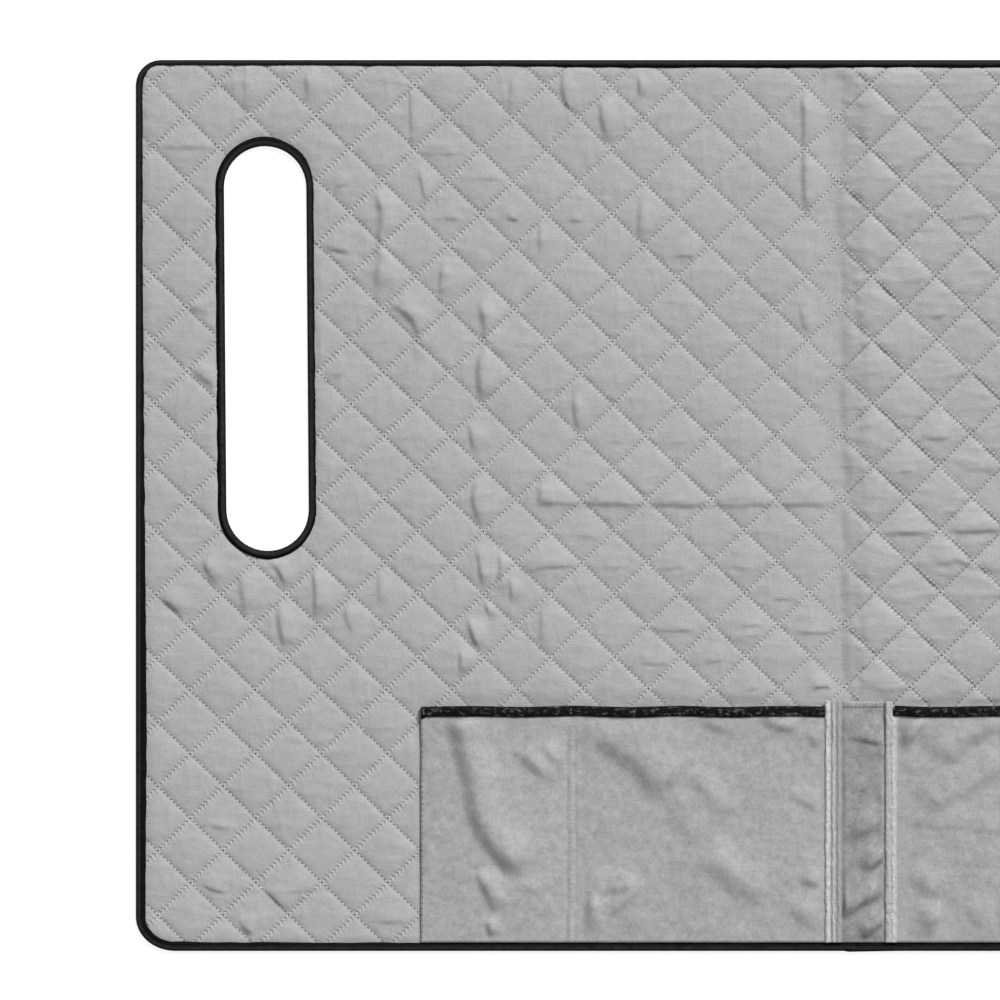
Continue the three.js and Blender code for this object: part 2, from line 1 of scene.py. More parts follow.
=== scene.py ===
"""Scene of a golf cart bench seat cover lying flat, face up.

The cover is quilted cloth with a bound edge and two bound armrest slots. Flat pockets with black
trims are sewn along its front edge, either side of a centre strip with a tape on each long side.
Sizes are millimetres in the part's own frame, and meshes are written in metres.
"""

import logging
import math
from dataclasses import dataclass, field
from enum import Enum
from typing import Any, Callable, Optional, Sequence

import bpy
import numpy as np
from mathutils.geometry import delaunay_2d_cdt
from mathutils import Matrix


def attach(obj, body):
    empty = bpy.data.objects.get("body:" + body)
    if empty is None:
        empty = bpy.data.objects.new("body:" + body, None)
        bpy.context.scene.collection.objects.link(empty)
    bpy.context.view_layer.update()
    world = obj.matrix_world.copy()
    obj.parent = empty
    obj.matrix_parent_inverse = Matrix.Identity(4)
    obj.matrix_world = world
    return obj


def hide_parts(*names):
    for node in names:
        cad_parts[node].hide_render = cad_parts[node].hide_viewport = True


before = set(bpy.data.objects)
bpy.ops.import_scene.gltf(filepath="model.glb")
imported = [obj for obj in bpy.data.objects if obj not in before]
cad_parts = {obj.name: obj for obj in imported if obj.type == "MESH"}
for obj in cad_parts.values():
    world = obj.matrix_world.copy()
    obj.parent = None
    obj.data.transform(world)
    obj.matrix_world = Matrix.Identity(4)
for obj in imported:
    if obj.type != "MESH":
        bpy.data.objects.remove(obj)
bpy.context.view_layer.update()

LOG = logging.getLogger("seat_cover")
MM = 0.001
BODY = "root"
Array = np.ndarray
Pair = tuple[float, float]
Triple = tuple[float, float, float]
Socket = bpy.types.NodeSocket
Finish = bpy.types.Material
Piece = bpy.types.Object


# Numbers along and across cloth


def smooth(value: Array, low: float, high: float) -> Array:
    """Eases from 0 at low to 1 at high."""
    part = np.clip((value - low) / (high - low), 0.0, 1.0)
    return part * part * (3 - 2 * part)


def mix(a: Array, b: Array, share: Array) -> Array:
    """Goes from a to b as share goes from 0 to 1."""
    return a + (b - a) * share


def ripple(x: Array, y: Array, wavelength: float, seed: int, waves: int = 9) -> Array:
    """Uneven waves, mostly between -1 and 1, about one wavelength apart.

    Args:
        x, y: Places in plan.
        wavelength: Usual distance from crest to crest.
        seed: Picks the waves.
        waves: How many plain waves are added up.

    Returns:
        The height at each place.
    """
    draw = np.random.default_rng(seed)
    turns = draw.uniform(0, math.pi, waves)
    phases = draw.uniform(0, 2 * math.pi, waves)
    lengths = draw.uniform(0.75, 1.35, waves) * wavelength
    total = np.zeros(np.broadcast(x, y).shape)
    for turn, phase, length in zip(turns, phases, lengths):
        total += np.sin(2 * math.pi / length * (x * math.cos(turn) + y * math.sin(turn)) + phase)
    return total / math.sqrt(waves / 1.2)


def curve_through(points: Sequence[Sequence[float]], spacing: float) -> Array:
    """Evenly spaced points on a smooth curve through the given ones.

    Args:
        points: Two or more points in plan.
        spacing: Distance wanted between the new points.

    Returns:
        The new points, from the first given point to the last.
    """
    given = np.array(points, float)
    ends = np.vstack([2 * given[0] - given[1], given, 2 * given[-1] - given[-2]])
    fine = []
    for a, b, c, d in zip(ends, ends[1:], ends[2:], ends[3:]):
        t = np.linspace(0, 1, 24, endpoint=False)[:, None]
        square, cube = 2 * a - 5 * b + 4 * c - d, 3 * b - a - 3 * c + d
        fine.append(0.5 * (2 * b + (c - a) * t + square * t**2 + cube * t**3))
    line = np.vstack([*fine, given[-1]])
    return spaced(line, spacing)


def spaced(line: Array, spacing: float) -> Array:
    """The same line in equal steps of about the given spacing.

    Args:
        line: Places, one a row.
        spacing: The step wanted.

    Returns:
        The stepped line.
    """
    steps = np.hypot(*np.diff(line, axis=0)[:, :2].T)
    run = np.concatenate([[0], np.cumsum(steps)])
    stops = np.linspace(0, run[-1], max(2, round(run[-1] / spacing) + 1))
    return np.stack([np.interp(stops, run, line[:, k]) for k in range(line.shape[1])], axis=1)


@dataclass(frozen=True)
class Fold:
    """A fold that rises gently to a crest and falls away on the right of its path.

    The path runs along the middle of the falling side. A crisp fold breaks sharply at its crest, and
    one with a rise below zero is a trough with a gentle side and a steep one.
    """

    path: tuple[Pair, ...]
    rise: float
    width: float
    slope: float
    crisp: bool = False

    def line(self) -> Array:
        """The path as a smooth line."""
        return curve_through(self.path, 6.0) if len(self.path) > 2 else np.array(self.path, float)

    def near(self, x: Array, y: Array) -> Array:
        """Whether each place is close enough for the fold to matter.

        Args:
            x, y: Places in plan.

        Returns:
            True where the fold may lift the cloth.
        """
        line = np.array(self.path, float)
        far = self.width + 2.2 * self.slope
        low, high = line.min(axis=0) - far, line.max(axis=0) + far
        return (x > low[0]) & (x < high[0]) & (y > low[1]) & (y < high[1])

    def measure(self, x: Array, y: Array) -> tuple[Array, Array, float]:
        """How far each place lies from the path.

        Args:
            x, y: Places in plan.

        Returns:
            The distance, above zero on the path's right, the run along the path, and its length.
        """
        line = self.line()
        best = np.full(np.shape(x), np.inf)
        side, run = np.zeros((2, *np.shape(x)))
        start = 0.0
        for a, b in zip(line, line[1:]):
            dx, dy = b - a
            length = math.hypot(dx, dy)
            along = ((x - a[0]) * dx + (y - a[1]) * dy) / length
            held = np.clip(along, 0, length)
            away = np.hypot(x - a[0] - held * dx / length, y - a[1] - held * dy / length)
            nearer = away < best
            across = ((x - a[0]) * dy - (y - a[1]) * dx) / length
            best = np.where(nearer, away, best)
            side = np.where(nearer, across, side)
            run = np.where(nearer, start + along, run)
            start += length
        return np.where(side < 0, -best, best), run, start

    def height(self, x: Array, y: Array) -> Array:
        """How far the fold lifts the cloth at each place.

        Args:
            x, y: Places in plan.

        Returns:
            The lift in millimetres.
        """
        lift = np.zeros(np.shape(x))
        near = self.near(x, y)
        if not near.any():
            return lift
        away, run, length = self.measure(x[near], y[near])
        past = away / self.width + 0.5
        gentle = np.exp(-(((away + self.width / 2) / self.slope) ** 2))
        held = np.clip(past, 0, 1)
        falling = (1 - held) ** 2.5 if self.crisp else 1 - held * held * (3 - 2 * held)
        fade = min(16.0, 0.4 * length)
        ends = smooth(run, -0.2 * fade, fade) * smooth(length - run, -0.2 * fade, fade)
        lift[near] = self.rise * np.where(past < 0, gentle, falling) * ends
        return lift

    def rows(self, spacing: float) -> Array:
        """Rows of points close enough to carry the crest and the foot.

        Args:
            spacing: Distance from point to point along a row.

        Returns:
            The points in plan.
        """
        line = spaced(self.line(), spacing)
        along = np.gradient(line, axis=0)
        along /= np.linalg.norm(along, axis=1, keepdims=True)
        across = np.column_stack([along[:, 1], -along[:, 0]])
        half = self.width / 2
        offsets = (-half - 2.0, -half, -0.6 * half, -0.2 * half, 0.2 * half, 0.6 * half, half, half + 1.5)
        return np.vstack([line + across * offset for offset in offsets])


def fold_table(*rows: tuple[Any, ...]) -> tuple[Fold, ...]:
    """Folds from rows that hold a path, a rise, a width and a slope each."""
    return tuple(Fold(*row) for row in rows)


# Meshes


@dataclass
class Skin:
    """The points and faces of one piece in the making."""

    points: list[Array] = field(default_factory=list)
    faces: list[list[int]] = field(default_factory=list)
    charts: list[Array] = field(default_factory=list)
    count: int = 0

    def add_points(self, xyz: Array, chart: Optional[Array] = None) -> Array:
        """Adds points.

        Args:
            xyz: The places, three numbers each.
            chart: Each point's place on the piece's own map, or X and Y if it is left out.

        Returns:
            The new points' numbers.
        """
        flat = np.asarray(xyz, float).reshape(-1, 3)
        self.points.append(flat)
        self.charts.append(flat[:, :2] if chart is None else np.asarray(chart, float).reshape(-1, 2))
        numbers = np.arange(self.count, self.count + len(flat))
        self.count += len(flat)
        return numbers

    def add_faces(self, faces: Array) -> None:
        """Adds faces, counter-clockwise from outside."""
        self.faces += np.asarray(faces, int).tolist()

    def add_grid(self, numbers: Array) -> None:
        """Adds a quad for each square of a table of points; its rows run to the left of its columns."""
        self.add_faces(np.stack(corners_of(numbers), axis=-1).reshape(-1, 4))

    def build(self, name: str, finish: Finish) -> Piece:
        """Makes the Blender object.

        Args:
            name: The piece's name.
            finish: Its material.

        Returns:
            The smooth-shaded piece, in metres, with a UV map named chart.
        """
        mesh = bpy.data.meshes.new(name)
        mesh.from_pydata((np.vstack(self.points) * MM).tolist(), [], self.faces)
        mesh.polygons.foreach_set("use_smooth", [True] * len(mesh.polygons))
        corners = np.empty(len(mesh.loops), np.int32)
        mesh.loops.foreach_get("vertex_index", corners)
        layer = mesh.uv_layers.new(name="chart")
        layer.data.foreach_set("uv", np.vstack(self.charts)[corners].astype(np.float32).ravel())
        mesh.materials.append(finish)
        mesh.update()
        return placed(name, mesh)


def corners_of(table: Array) -> tuple[Array, ...]:
    """The four corners of each square of a table, in order round it."""
    return table[:-1, :-1], table[1:, :-1], table[1:, 1:], table[:-1, 1:]


def placed(name: str, data: Any) -> Piece:
    """Puts an object into the scene.

    Args:
        name: Its name.
        data: Its mesh, lamp or camera.

    Returns:
        The object.
    """
    made = bpy.data.objects.new(name, data)
    bpy.context.scene.collection.objects.link(made)
    return made


def closed_sheet(x: Array, y: Array, low: Array, high: Array) -> Skin:
    """A cloth with an upper and a lower face and four narrow sides.

    Args:
        x: Places along X, a table whose first index runs along X.
        y: Places along Y, its second index runs along Y.
        low: Heights of the lower face.
        high: Heights of the upper face.

    Returns:
        The closed skin.
    """
    skin = Skin()
    top, bottom = (skin.add_points(np.stack([x, y, z], axis=-1)).reshape(x.shape) for z in (high, low))
    skin.add_grid(top)
    skin.add_grid(bottom[:, ::-1])
    for side in ((bottom[:, 0], top[:, 0]), (bottom[-1], top[-1]), (top[:, -1], bottom[:, -1]),
                 (top[0], bottom[0])):
        skin.add_grid(np.stack(side, axis=1))
    return skin


def rounded(corners: Sequence[tuple[Any, Any]]) -> Array:
    """A closed section with each corner cut once, so that it reads as folded cloth.

    Args:
        corners: Distance and height of each corner, in order, as one value or one for each station.

    Returns:
        Two points for each corner, by station and point.
    """
    values = np.broadcast_arrays(*(value for corner in corners for value in corner))
    section = np.stack(values, axis=-1).reshape(*values[0].shape, -1, 2)
    following = np.roll(section, -1, axis=-2)
    cut = np.stack([0.78 * section + 0.22 * following, 0.22 * section + 0.78 * following], axis=-2)
    return cut.reshape(*section.shape[:-2], -1, 2)


def sweep(sections: Array, closed: bool, chart: Array) -> Skin:
    """Joins a row of equal sections into one skin.

    Args:
        sections: Places by section and point; the points run counter-clockwise, looking along the path.
        closed: Whether the path comes back to its start.
        chart: Each point's two numbers on the piece's own map.

    Returns:
        The skin, with flat ends where the path is open.
    """
    skin = Skin()
    numbers = skin.add_points(sections, chart).reshape(sections.shape[:2])
    numbers = np.concatenate([numbers, numbers[:, :1]], axis=1)
    if closed:
        numbers = np.concatenate([numbers, numbers[:1]], axis=0)
    skin.add_grid(numbers[:, ::-1])
    if not closed:
        skin.faces.append(numbers[0, :-1][::-1].tolist())
        skin.faces.append(numbers[-1, :-1].tolist())
    return skin


# Shader arithmetic


class Term:
    """A shader value that takes part in arithmetic; each operation adds a Math node."""

    def __init__(self, shop: "Shader", socket: Socket) -> None:
        """Wraps a socket of the given shader."""
        self.shop = shop
        self.socket = socket

    def math(self, operation: str, *others: Any) -> "Term":
        """The result of a Math node on this value and the ones that follow it."""
        values = {number + 1: other for number, other in enumerate(others)}
        return self.shop.term("ShaderNodeMath", {"operation": operation}, {0: self, **values})

    def __add__(self, other: Any) -> "Term":
        """Sum."""
        return self.math("ADD", other)

    __radd__ = __add__

    def __mul__(self, other: Any) -> "Term":
        """Product."""
        return self.math("MULTIPLY", other)

    __rmul__ = __mul__

    def __sub__(self, other: Any) -> "Term":
        """Difference."""
        return self.math("SUBTRACT", other)

    def __rsub__(self, other: Any) -> "Term":
        """Difference from another value."""
        return self * -1.0 + other

    def __truediv__(self, other: Any) -> "Term":
        """Quotient."""
        return self.math("DIVIDE", other)

    def wrapped(self) -> "Term":
        """Signed distance to the nearest whole number."""
        return (self + 0.5).math("FRACT") - 0.5

    def size(self) -> "Term":
        """Value without its sign."""
        return self.math("ABSOLUTE")

    def ramp(self, low: float, high: float) -> "Term":
        """Eases from 0 at low to 1 at high."""
        sockets = {"Value": self, "From Min": low, "From Max": high}
        return self.shop.term("ShaderNodeMapRange", {"interpolation_type": "SMOOTHSTEP"}, sockets)


class Nodes:
    """A node tree in the making."""

    tree: bpy.types.NodeTree

    def node(self, kind: str, settings: dict[str, Any], sockets: dict[Any, Any]) -> bpy.types.Node:
        """Adds a node.

        Args:
            kind: The node's type.
            settings: Its settings, which are set first.
            sockets: Values or links by socket name or number.

        Returns:
            The node.
        """
        made = self.tree.nodes.new(kind)
        for name, value in settings.items():
            setattr(made, name, value)
        for name, value in sockets.items():
            self.feed(made.inputs[name], value)
        return made

    def feed(self, socket: Socket, value: Any) -> None:
        """Links a socket, or sets its value.

        Args:
            socket: The input.
            value: A term, a socket or a plain value.
        """
        if isinstance(value, Term):
            value = value.socket
        if isinstance(value, Socket):
            self.tree.links.new(value, socket)
        else:
            socket.default_value = value


class Shader(Nodes):
    """A material in the making."""

    def __init__(self, name: str) -> None:
        """Starts an empty material with a Principled shader.

        Args:
            name: The material's name.
        """
        self.material = bpy.data.materials.new(name)
        self.material.use_nodes = True
        self.tree = self.material.node_tree
        self.tree.nodes.clear()
        self.body = self.node("ShaderNodeBsdfPrincipled", {}, {})
        self.node("ShaderNodeOutputMaterial", {}, {0: self.body.outputs[0]})

    def term(self, kind: str, settings: dict[str, Any], sockets: dict[Any, Any]) -> Term:
        """The first output of a new node."""
        return Term(self, self.node(kind, settings, sockets).outputs[0])

    def place(self) -> Socket:
        """Object coordinates."""
        return self.node("ShaderNodeTexCoord", {}, {}).outputs["Object"]

    def chart(self) -> Socket:
        """The piece's own map."""
        return self.node("ShaderNodeUVMap", {"uv_map": "chart"}, {}).outputs[0]

    def split(self, place: Socket) -> tuple[Term, Term]:
        """The first two numbers of coordinates."""
        parts = self.node("ShaderNodeSeparateXYZ", {}, {0: place})
        return Term(self, parts.outputs[0]), Term(self, parts.outputs[1])

    def noise(self, place: Socket, scale: Any, detail: float, rough: float = 0.5) -> Term:
        """Noise about zero.

        Args:
            place: Coordinates.
            scale: Features per unit of the coordinates, as one number or one for each axis.
            detail: Octaves.
            rough: How strong the finer octaves are.

        Returns:
            Values mostly between -0.5 and 0.5.
        """
        if isinstance(scale, tuple):
            place = self.node("ShaderNodeMapping", {}, {"Vector": place, "Scale": scale}).outputs[0]
            scale = 1.0
        sockets = {"Vector": place, "Scale": scale, "Detail": detail, "Roughness": rough}
        return self.term("ShaderNodeTexNoise", {}, sockets) - 0.5

    def wave(self, value: Term, count: float) -> Term:
        """A round wave between -1 and 1 that repeats count times per unit."""
        return (value * (2 * math.pi * count)).math("SINE")

    def finished(self, colour: Triple, shade: Term, height: Optional[Term] = None,
                 strength: float = 1.0, **values: Any) -> Finish:
        """Completes the material.

        Args:
            colour: Its base colour.
            shade: Varies the colour over the surface.
            height: Bumps the surface, in millimetres.
            strength: How strongly it does so.
            values: Other inputs of the Principled shader, underscores standing for spaces.

        Returns:
            The material.
        """
        tinted = self.term("ShaderNodeVectorMath", {"operation": "MULTIPLY"}, {0: colour, 1: shade})
        self.feed(self.body.inputs["Base Color"], tinted)
        if height is not None:
            sockets = {"Height": height, "Distance": MM, "Strength": strength}
            self.feed(self.body.inputs["Normal"], self.term("ShaderNodeBump", {}, sockets))
        for name, value in values.items():
            self.feed(self.body.inputs[name.replace("_", " ")], value)
        return self.material


# Finishes


@dataclass(frozen=True)
class Weave:
    """Plain woven polyester cloth: fine yarns, a soft slubby grain and slow changes of tone."""

    name: str
    colour: Triple
    roughness: float = 0.78
    yarn: float = 0.9
    grain: float = 0.6
    slub: float = 0.10
    tone: float = 0.05
    sheen: float = 0.1
    relief: float = 0.22
    slub_size: Pair = (120, 900)
    mottle_size: float = 130.0
    tone_size: float = 9.0
    yarn_shade: float = 0.015
    yarn_height: float = 0.05
    mottle_height: float = 0.3

    def cloth(self, shader: Shader) -> tuple[Term, Term]:
        """The woven surface.

        Args:
            shader: The material in the making.

        Returns:
            The shade about 1, and the height of yarns and grain in millimetres.
        """
        place = shader.place()
        x, y = shader.split(place)
        yarns = shader.wave(x, 1 / (self.yarn * MM)) * shader.wave(y, 1 / (self.yarn * MM))
        long, short = self.slub_size
        slubs = shader.noise(place, (long, short, 1), 2.0)
        slubs = slubs + shader.noise(place, (short, long, 1), 2.0)
        mottle = shader.noise(place, self.mottle_size, 3.6, 0.9)
        slow = shader.noise(place, self.tone_size, 2.0)
        shade = 1.0 + self.grain * mottle + self.slub * slubs + self.tone * slow + yarns * self.yarn_shade
        return shade, yarns * self.yarn_height + slubs * self.relief + mottle * self.mottle_height

    def surface(self, shader: Shader) -> tuple[Term, Term]:
        """The surface that shows, which is plain cloth here."""
        return self.cloth(shader)

    def make(self) -> Finish:
        """Makes the material from its surface.

        Returns:
            The material.
        """
        shader = Shader(self.name)
        shade, height = self.surface(shader)
        return shader.finished(self.colour, shade, height, Roughness=self.roughness,
                               Sheen_Weight=self.sheen, Specular_IOR_Level=0.3)


@dataclass(frozen=True)
class RibbedTape(Weave):
    """Grey tape with lighter ribs, and painted shade in the grooves between them and along its edge.

    Each line has its place along X, half its width and how much lighter than the tape it is; lines below zero
    are painted shade.
    """

    lines: tuple[Triple, ...] = ()
    wander: float = 2.6
    wander_size: Triple = (20, 90, 20)
    specks: float = 4.2
    speck_size: Triple = (500, 260, 500)
    rib_height: float = 0.3

    def surface(self, shader: Shader) -> tuple[Term, Term]:
        """The cloth with its ribs and grooves.

        Args:
            shader: The material in the making.

        Returns:
            Its shade about 1, and its height.
        """
        shade, height = self.cloth(shader)
        across, _ = shader.split(shader.chart())
        place = shader.place()
        across = across + self.wander * shader.noise(place, self.wander_size, 3.0, 0.7)
        speck = 1.0 + self.specks * shader.noise(place, self.speck_size, 2.0, 0.8)
        # Lines above zero make the ribs lighter; lines below zero are painted shade in the grooves and along
        # the edge.
        for at, half, lighter in self.lines:
            rib = 1.0 - (across - at).size().ramp(0.0, 2 * half)
            shade = shade + rib * speck * lighter
            height = height + rib * math.copysign(self.rib_height, lighter)
        return shade, height


@dataclass(frozen=True)
class QuiltedWeave(Weave):
    """The cover's cloth, with painted shade in its needle holes and in the pulled cloth along its quilting
    lines.
    """

    cell: float = 41.4
    stitches_per_cell: int = 10
    hole: float = 0.6
    hole_shade: float = 0.36
    valley_shade: float = 0.26
    pucker: float = 0.75
    pucker_length: float = 4.6
    rung: float = 0.11
    rung_shade: float = 0.13
    wrinkle: float = 0.45
    far_left: float = -0.42
    left_fade: float = 0.17
    right_from: Pair = (-0.03, 0.0)
    pucker_reach: Pair = (1.0, 11.0)
    pucker_run: float = 1.6
    rung_reach: Pair = (1.5, 4.5)
    valley_reach: Pair = (0.1, 1.6)
    hole_sink: float = 0.25
    crosswise_size: Triple = (36, 105, 1)
    upright_size: Triple = (115, 34, 1)

    def line(self, shader: Shader, across: Term, along: Term, flipped: bool) -> tuple[Term, Term, Term]:
        """What one family of quilting lines does to the cloth.

        Args:
            shader: The material in the making.
            across: The map's number that is whole on the lines.
            along: The map's number that runs along them.
            flipped: Whether the number along the lines is the map's first one.

        Returns:
            A mask of the needle holes, the puckers, and how near the line each place is.
        """
        aside = across.wrapped().size() * self.cell
        run = (along * self.stitches_per_cell).wrapped().size() * (self.cell / self.stitches_per_cell)
        away = (aside * aside + run * run).math("SQRT")
        holes = 1.0 - away.ramp(0.5 * self.hole, 1.7 * self.hole)
        often, seldom = self.cell / self.pucker_length, self.pucker_run
        spread = (often, seldom, 1) if flipped else (seldom, often, 1)
        near = 1.0 - aside.ramp(*self.pucker_reach)
        puckers = shader.noise(shader.chart(), spread, 2.0, 0.6) * near
        return holes, self.pucker * puckers, aside

    def wrinkles(self, shader: Shader, right: Term) -> Term:
        """Short soft wrinkles, lying crosswise and more of them right of the pack crease.

        Args:
            shader: The material in the making.
            right: 1 right of the pack crease, 0 left of it.

        Returns:
            Their height before it is scaled.
        """
        place = shader.place()
        crosswise = shader.noise(place, self.crosswise_size, 0.0).ramp(-0.05, 0.35)
        upright = shader.noise(place, self.upright_size, 0.0).ramp(0.0, 0.38)
        return crosswise * (0.6 + 0.6 * right) + upright * (0.8 - 0.6 * right)

    def surface(self, shader: Shader) -> tuple[Term, Term]:
        """The cloth with its quilting lines, puckers and wrinkles.

        The rungs stand across the rising lines left of the pack crease and across the falling ones
        everywhere but at the far left, with painted light and shade along them; the other family lies in
        valleys darkened with painted shade.

        Args:
            shader: The material in the making.

        Returns:
            Its shade about 1, and its height.
        """
        shade, height = self.cloth(shader)
        x, _ = shader.split(shader.place())
        left = 1.0 - x.ramp(self.far_left, self.far_left + self.left_fade)
        right = x.ramp(*self.right_from)
        m, n = shader.split(shader.chart())
        height = height + self.wrinkle * self.wrinkles(shader, right)
        rising = (0.5 + 0.5 * left) * (1.0 - right)
        for across, along, laddered, shaded_line in ((m, n, rising, right), (n, m, 1.0 - left, left)):
            holes, puckers, aside = self.line(shader, across, along, across is n)
            rungs = shader.wave(along, self.stitches_per_cell) * (1.0 - aside.ramp(*self.rung_reach))
            rungs = rungs * laddered
            # Painted shade: the needle holes and the valleys along the lines are darkened in colour.
            valley_shade = (1.0 - aside.ramp(*self.valley_reach)) * (0.2 + 0.8 * shaded_line)
            shade = shade * (1.0 - self.hole_shade * holes) * (1.0 - self.valley_shade * valley_shade)
            # Painted light and shade: the rungs are lighter where their bump rises and darker between.
            shade = shade * (1.0 + self.rung_shade * rungs)
            height = height + puckers + self.rung * rungs - holes * self.hole_sink
        return shade, height


@dataclass(frozen=True)
class BoundTape:
    """Black binding tape with fine cross ribs and a painted highlight along its rounded side."""

    name: str
    tint: Triple = (1.0, 1.0, 0.97)
    deep: float = 0.002
    pale: float = 0.030
    highlight_at: float = 3.0
    highlight_half: float = 1.5
    patch: Pair = (-0.5, 0.2)
    patch_size: Pair = (4.0, 2.0)
    roughness: float = 0.6
    specular: float = 0.08
    rib: float = 0.8
    rib_height: float = 0.05
    wrinkle: float = 0.3

    def make(self) -> Finish:
        """Makes the material.

        Returns:
            The material.
        """
        shader = Shader(self.name)
        run, inward = shader.split(shader.chart())
        ribs = shader.wave(run, 1 / self.rib)
        place = shader.place()
        sizes = tuple(0.5 / (size * MM) for size in self.patch_size)
        patches = shader.noise(place, (*sizes, 1.0), 3.0, 0.75).ramp(*self.patch)
        wrinkles = shader.noise(place, 160.0, 3.0, 0.6)
        # Painted highlight: a patchy band along the rounded side is painted lighter than the black tape.
        wear_and_highlight = 1.0 - (inward + 2.0 * wrinkles - self.highlight_at).size().ramp(0.0, 2 * self.highlight_half)
        shade = self.deep + (self.pale - self.deep) * wear_and_highlight * patches * (1.0 + 0.15 * ribs)
        height = ribs * self.rib_height + wrinkles * self.wrinkle
        return shader.finished(self.tint, shade, height, Roughness=self.roughness,
                               Specular_IOR_Level=self.specular)


@dataclass(frozen=True)
class Thread:
    """Sewing thread."""

    name: str
    colour: Triple
    roughness: float = 0.6

    def make(self) -> Finish:
        """Makes the material.

        Returns:
            The material.
        """
        shader = Shader(self.name)
        specks = shader.noise(shader.place(), 900.0, 2.0)
        twist = shader.noise(shader.place(), (2500, 700, 2500), 1.0)
        return shader.finished(self.colour, 1.0 + 0.4 * specks, twist, 0.3, Roughness=self.roughness,
                               Sheen_Weight=0.2)


class Cloths:
    """The finishes of this cover, made once each."""

    def __init__(self) -> None:
        """Makes every material."""
        self.quilt = QuiltedWeave("quilted_cloth_finish", (0.428, 0.428, 0.425), grain=0.4).make()
        self.pocket = Weave("pocket_cloth_finish", (0.398, 0.398, 0.396), grain=1.0, tone=0.07,
                            relief=0.16).make()
        self.strip = Weave("strip_cloth_finish", (0.303, 0.303, 0.302), grain=1.5, tone=0.05,
                           relief=0.16).make()
        # The tapes' lines below zero are painted shade in their grooves and along the edge beside the strip.
        self.left_tape = RibbedTape("left_tape_finish", (0.330, 0.330, 0.328), lines=(
            (-29.8, 2.0, 0.85), (-26.9, 0.8, -0.05), (-24.5, 1.3, 0.4), (-21.8, 0.8, -0.1),
            (-19.4, 1.0, 0.2), (-16.9, 0.8, -0.12))).make()
        self.right_tape = RibbedTape("right_tape_finish", (0.400, 0.400, 0.398), wander=0.6, lines=(
            (29.9, 2.2, 0.36), (25.0, 1.4, 0.14), (22.3, 0.6, -0.12))).make()
        # Both black tapes carry a painted highlight band; on the trim it spans the tape in patches.
        self.binding = BoundTape("edge_binding_finish").make()
        self.trim = BoundTape("pocket_trim_finish", pale=0.15, deep=0.005, highlight_at=5.0, highlight_half=4.5,
                              patch=(0.0, 0.22), patch_size=(3.4, 2.0), wrinkle=0.6).make()
        self.cloth_thread = Thread("cloth_thread_finish", (0.47, 0.47, 0.465)).make()
        self.grey_thread = Thread("grey_thread_finish", (0.72, 0.72, 0.71)).make()
        self.dark_thread = Thread("dark_thread_finish", (0.10, 0.10, 0.10)).make()
        self.tack_thread = Thread("tack_thread_finish", (0.30, 0.30, 0.30)).make()


# Stitches


@dataclass(frozen=True)
class StitchSize:
    """One kind of stitch, as the part of its thread that shows."""

    length: float
    width: float
    height: float
    turn: float = 0.10


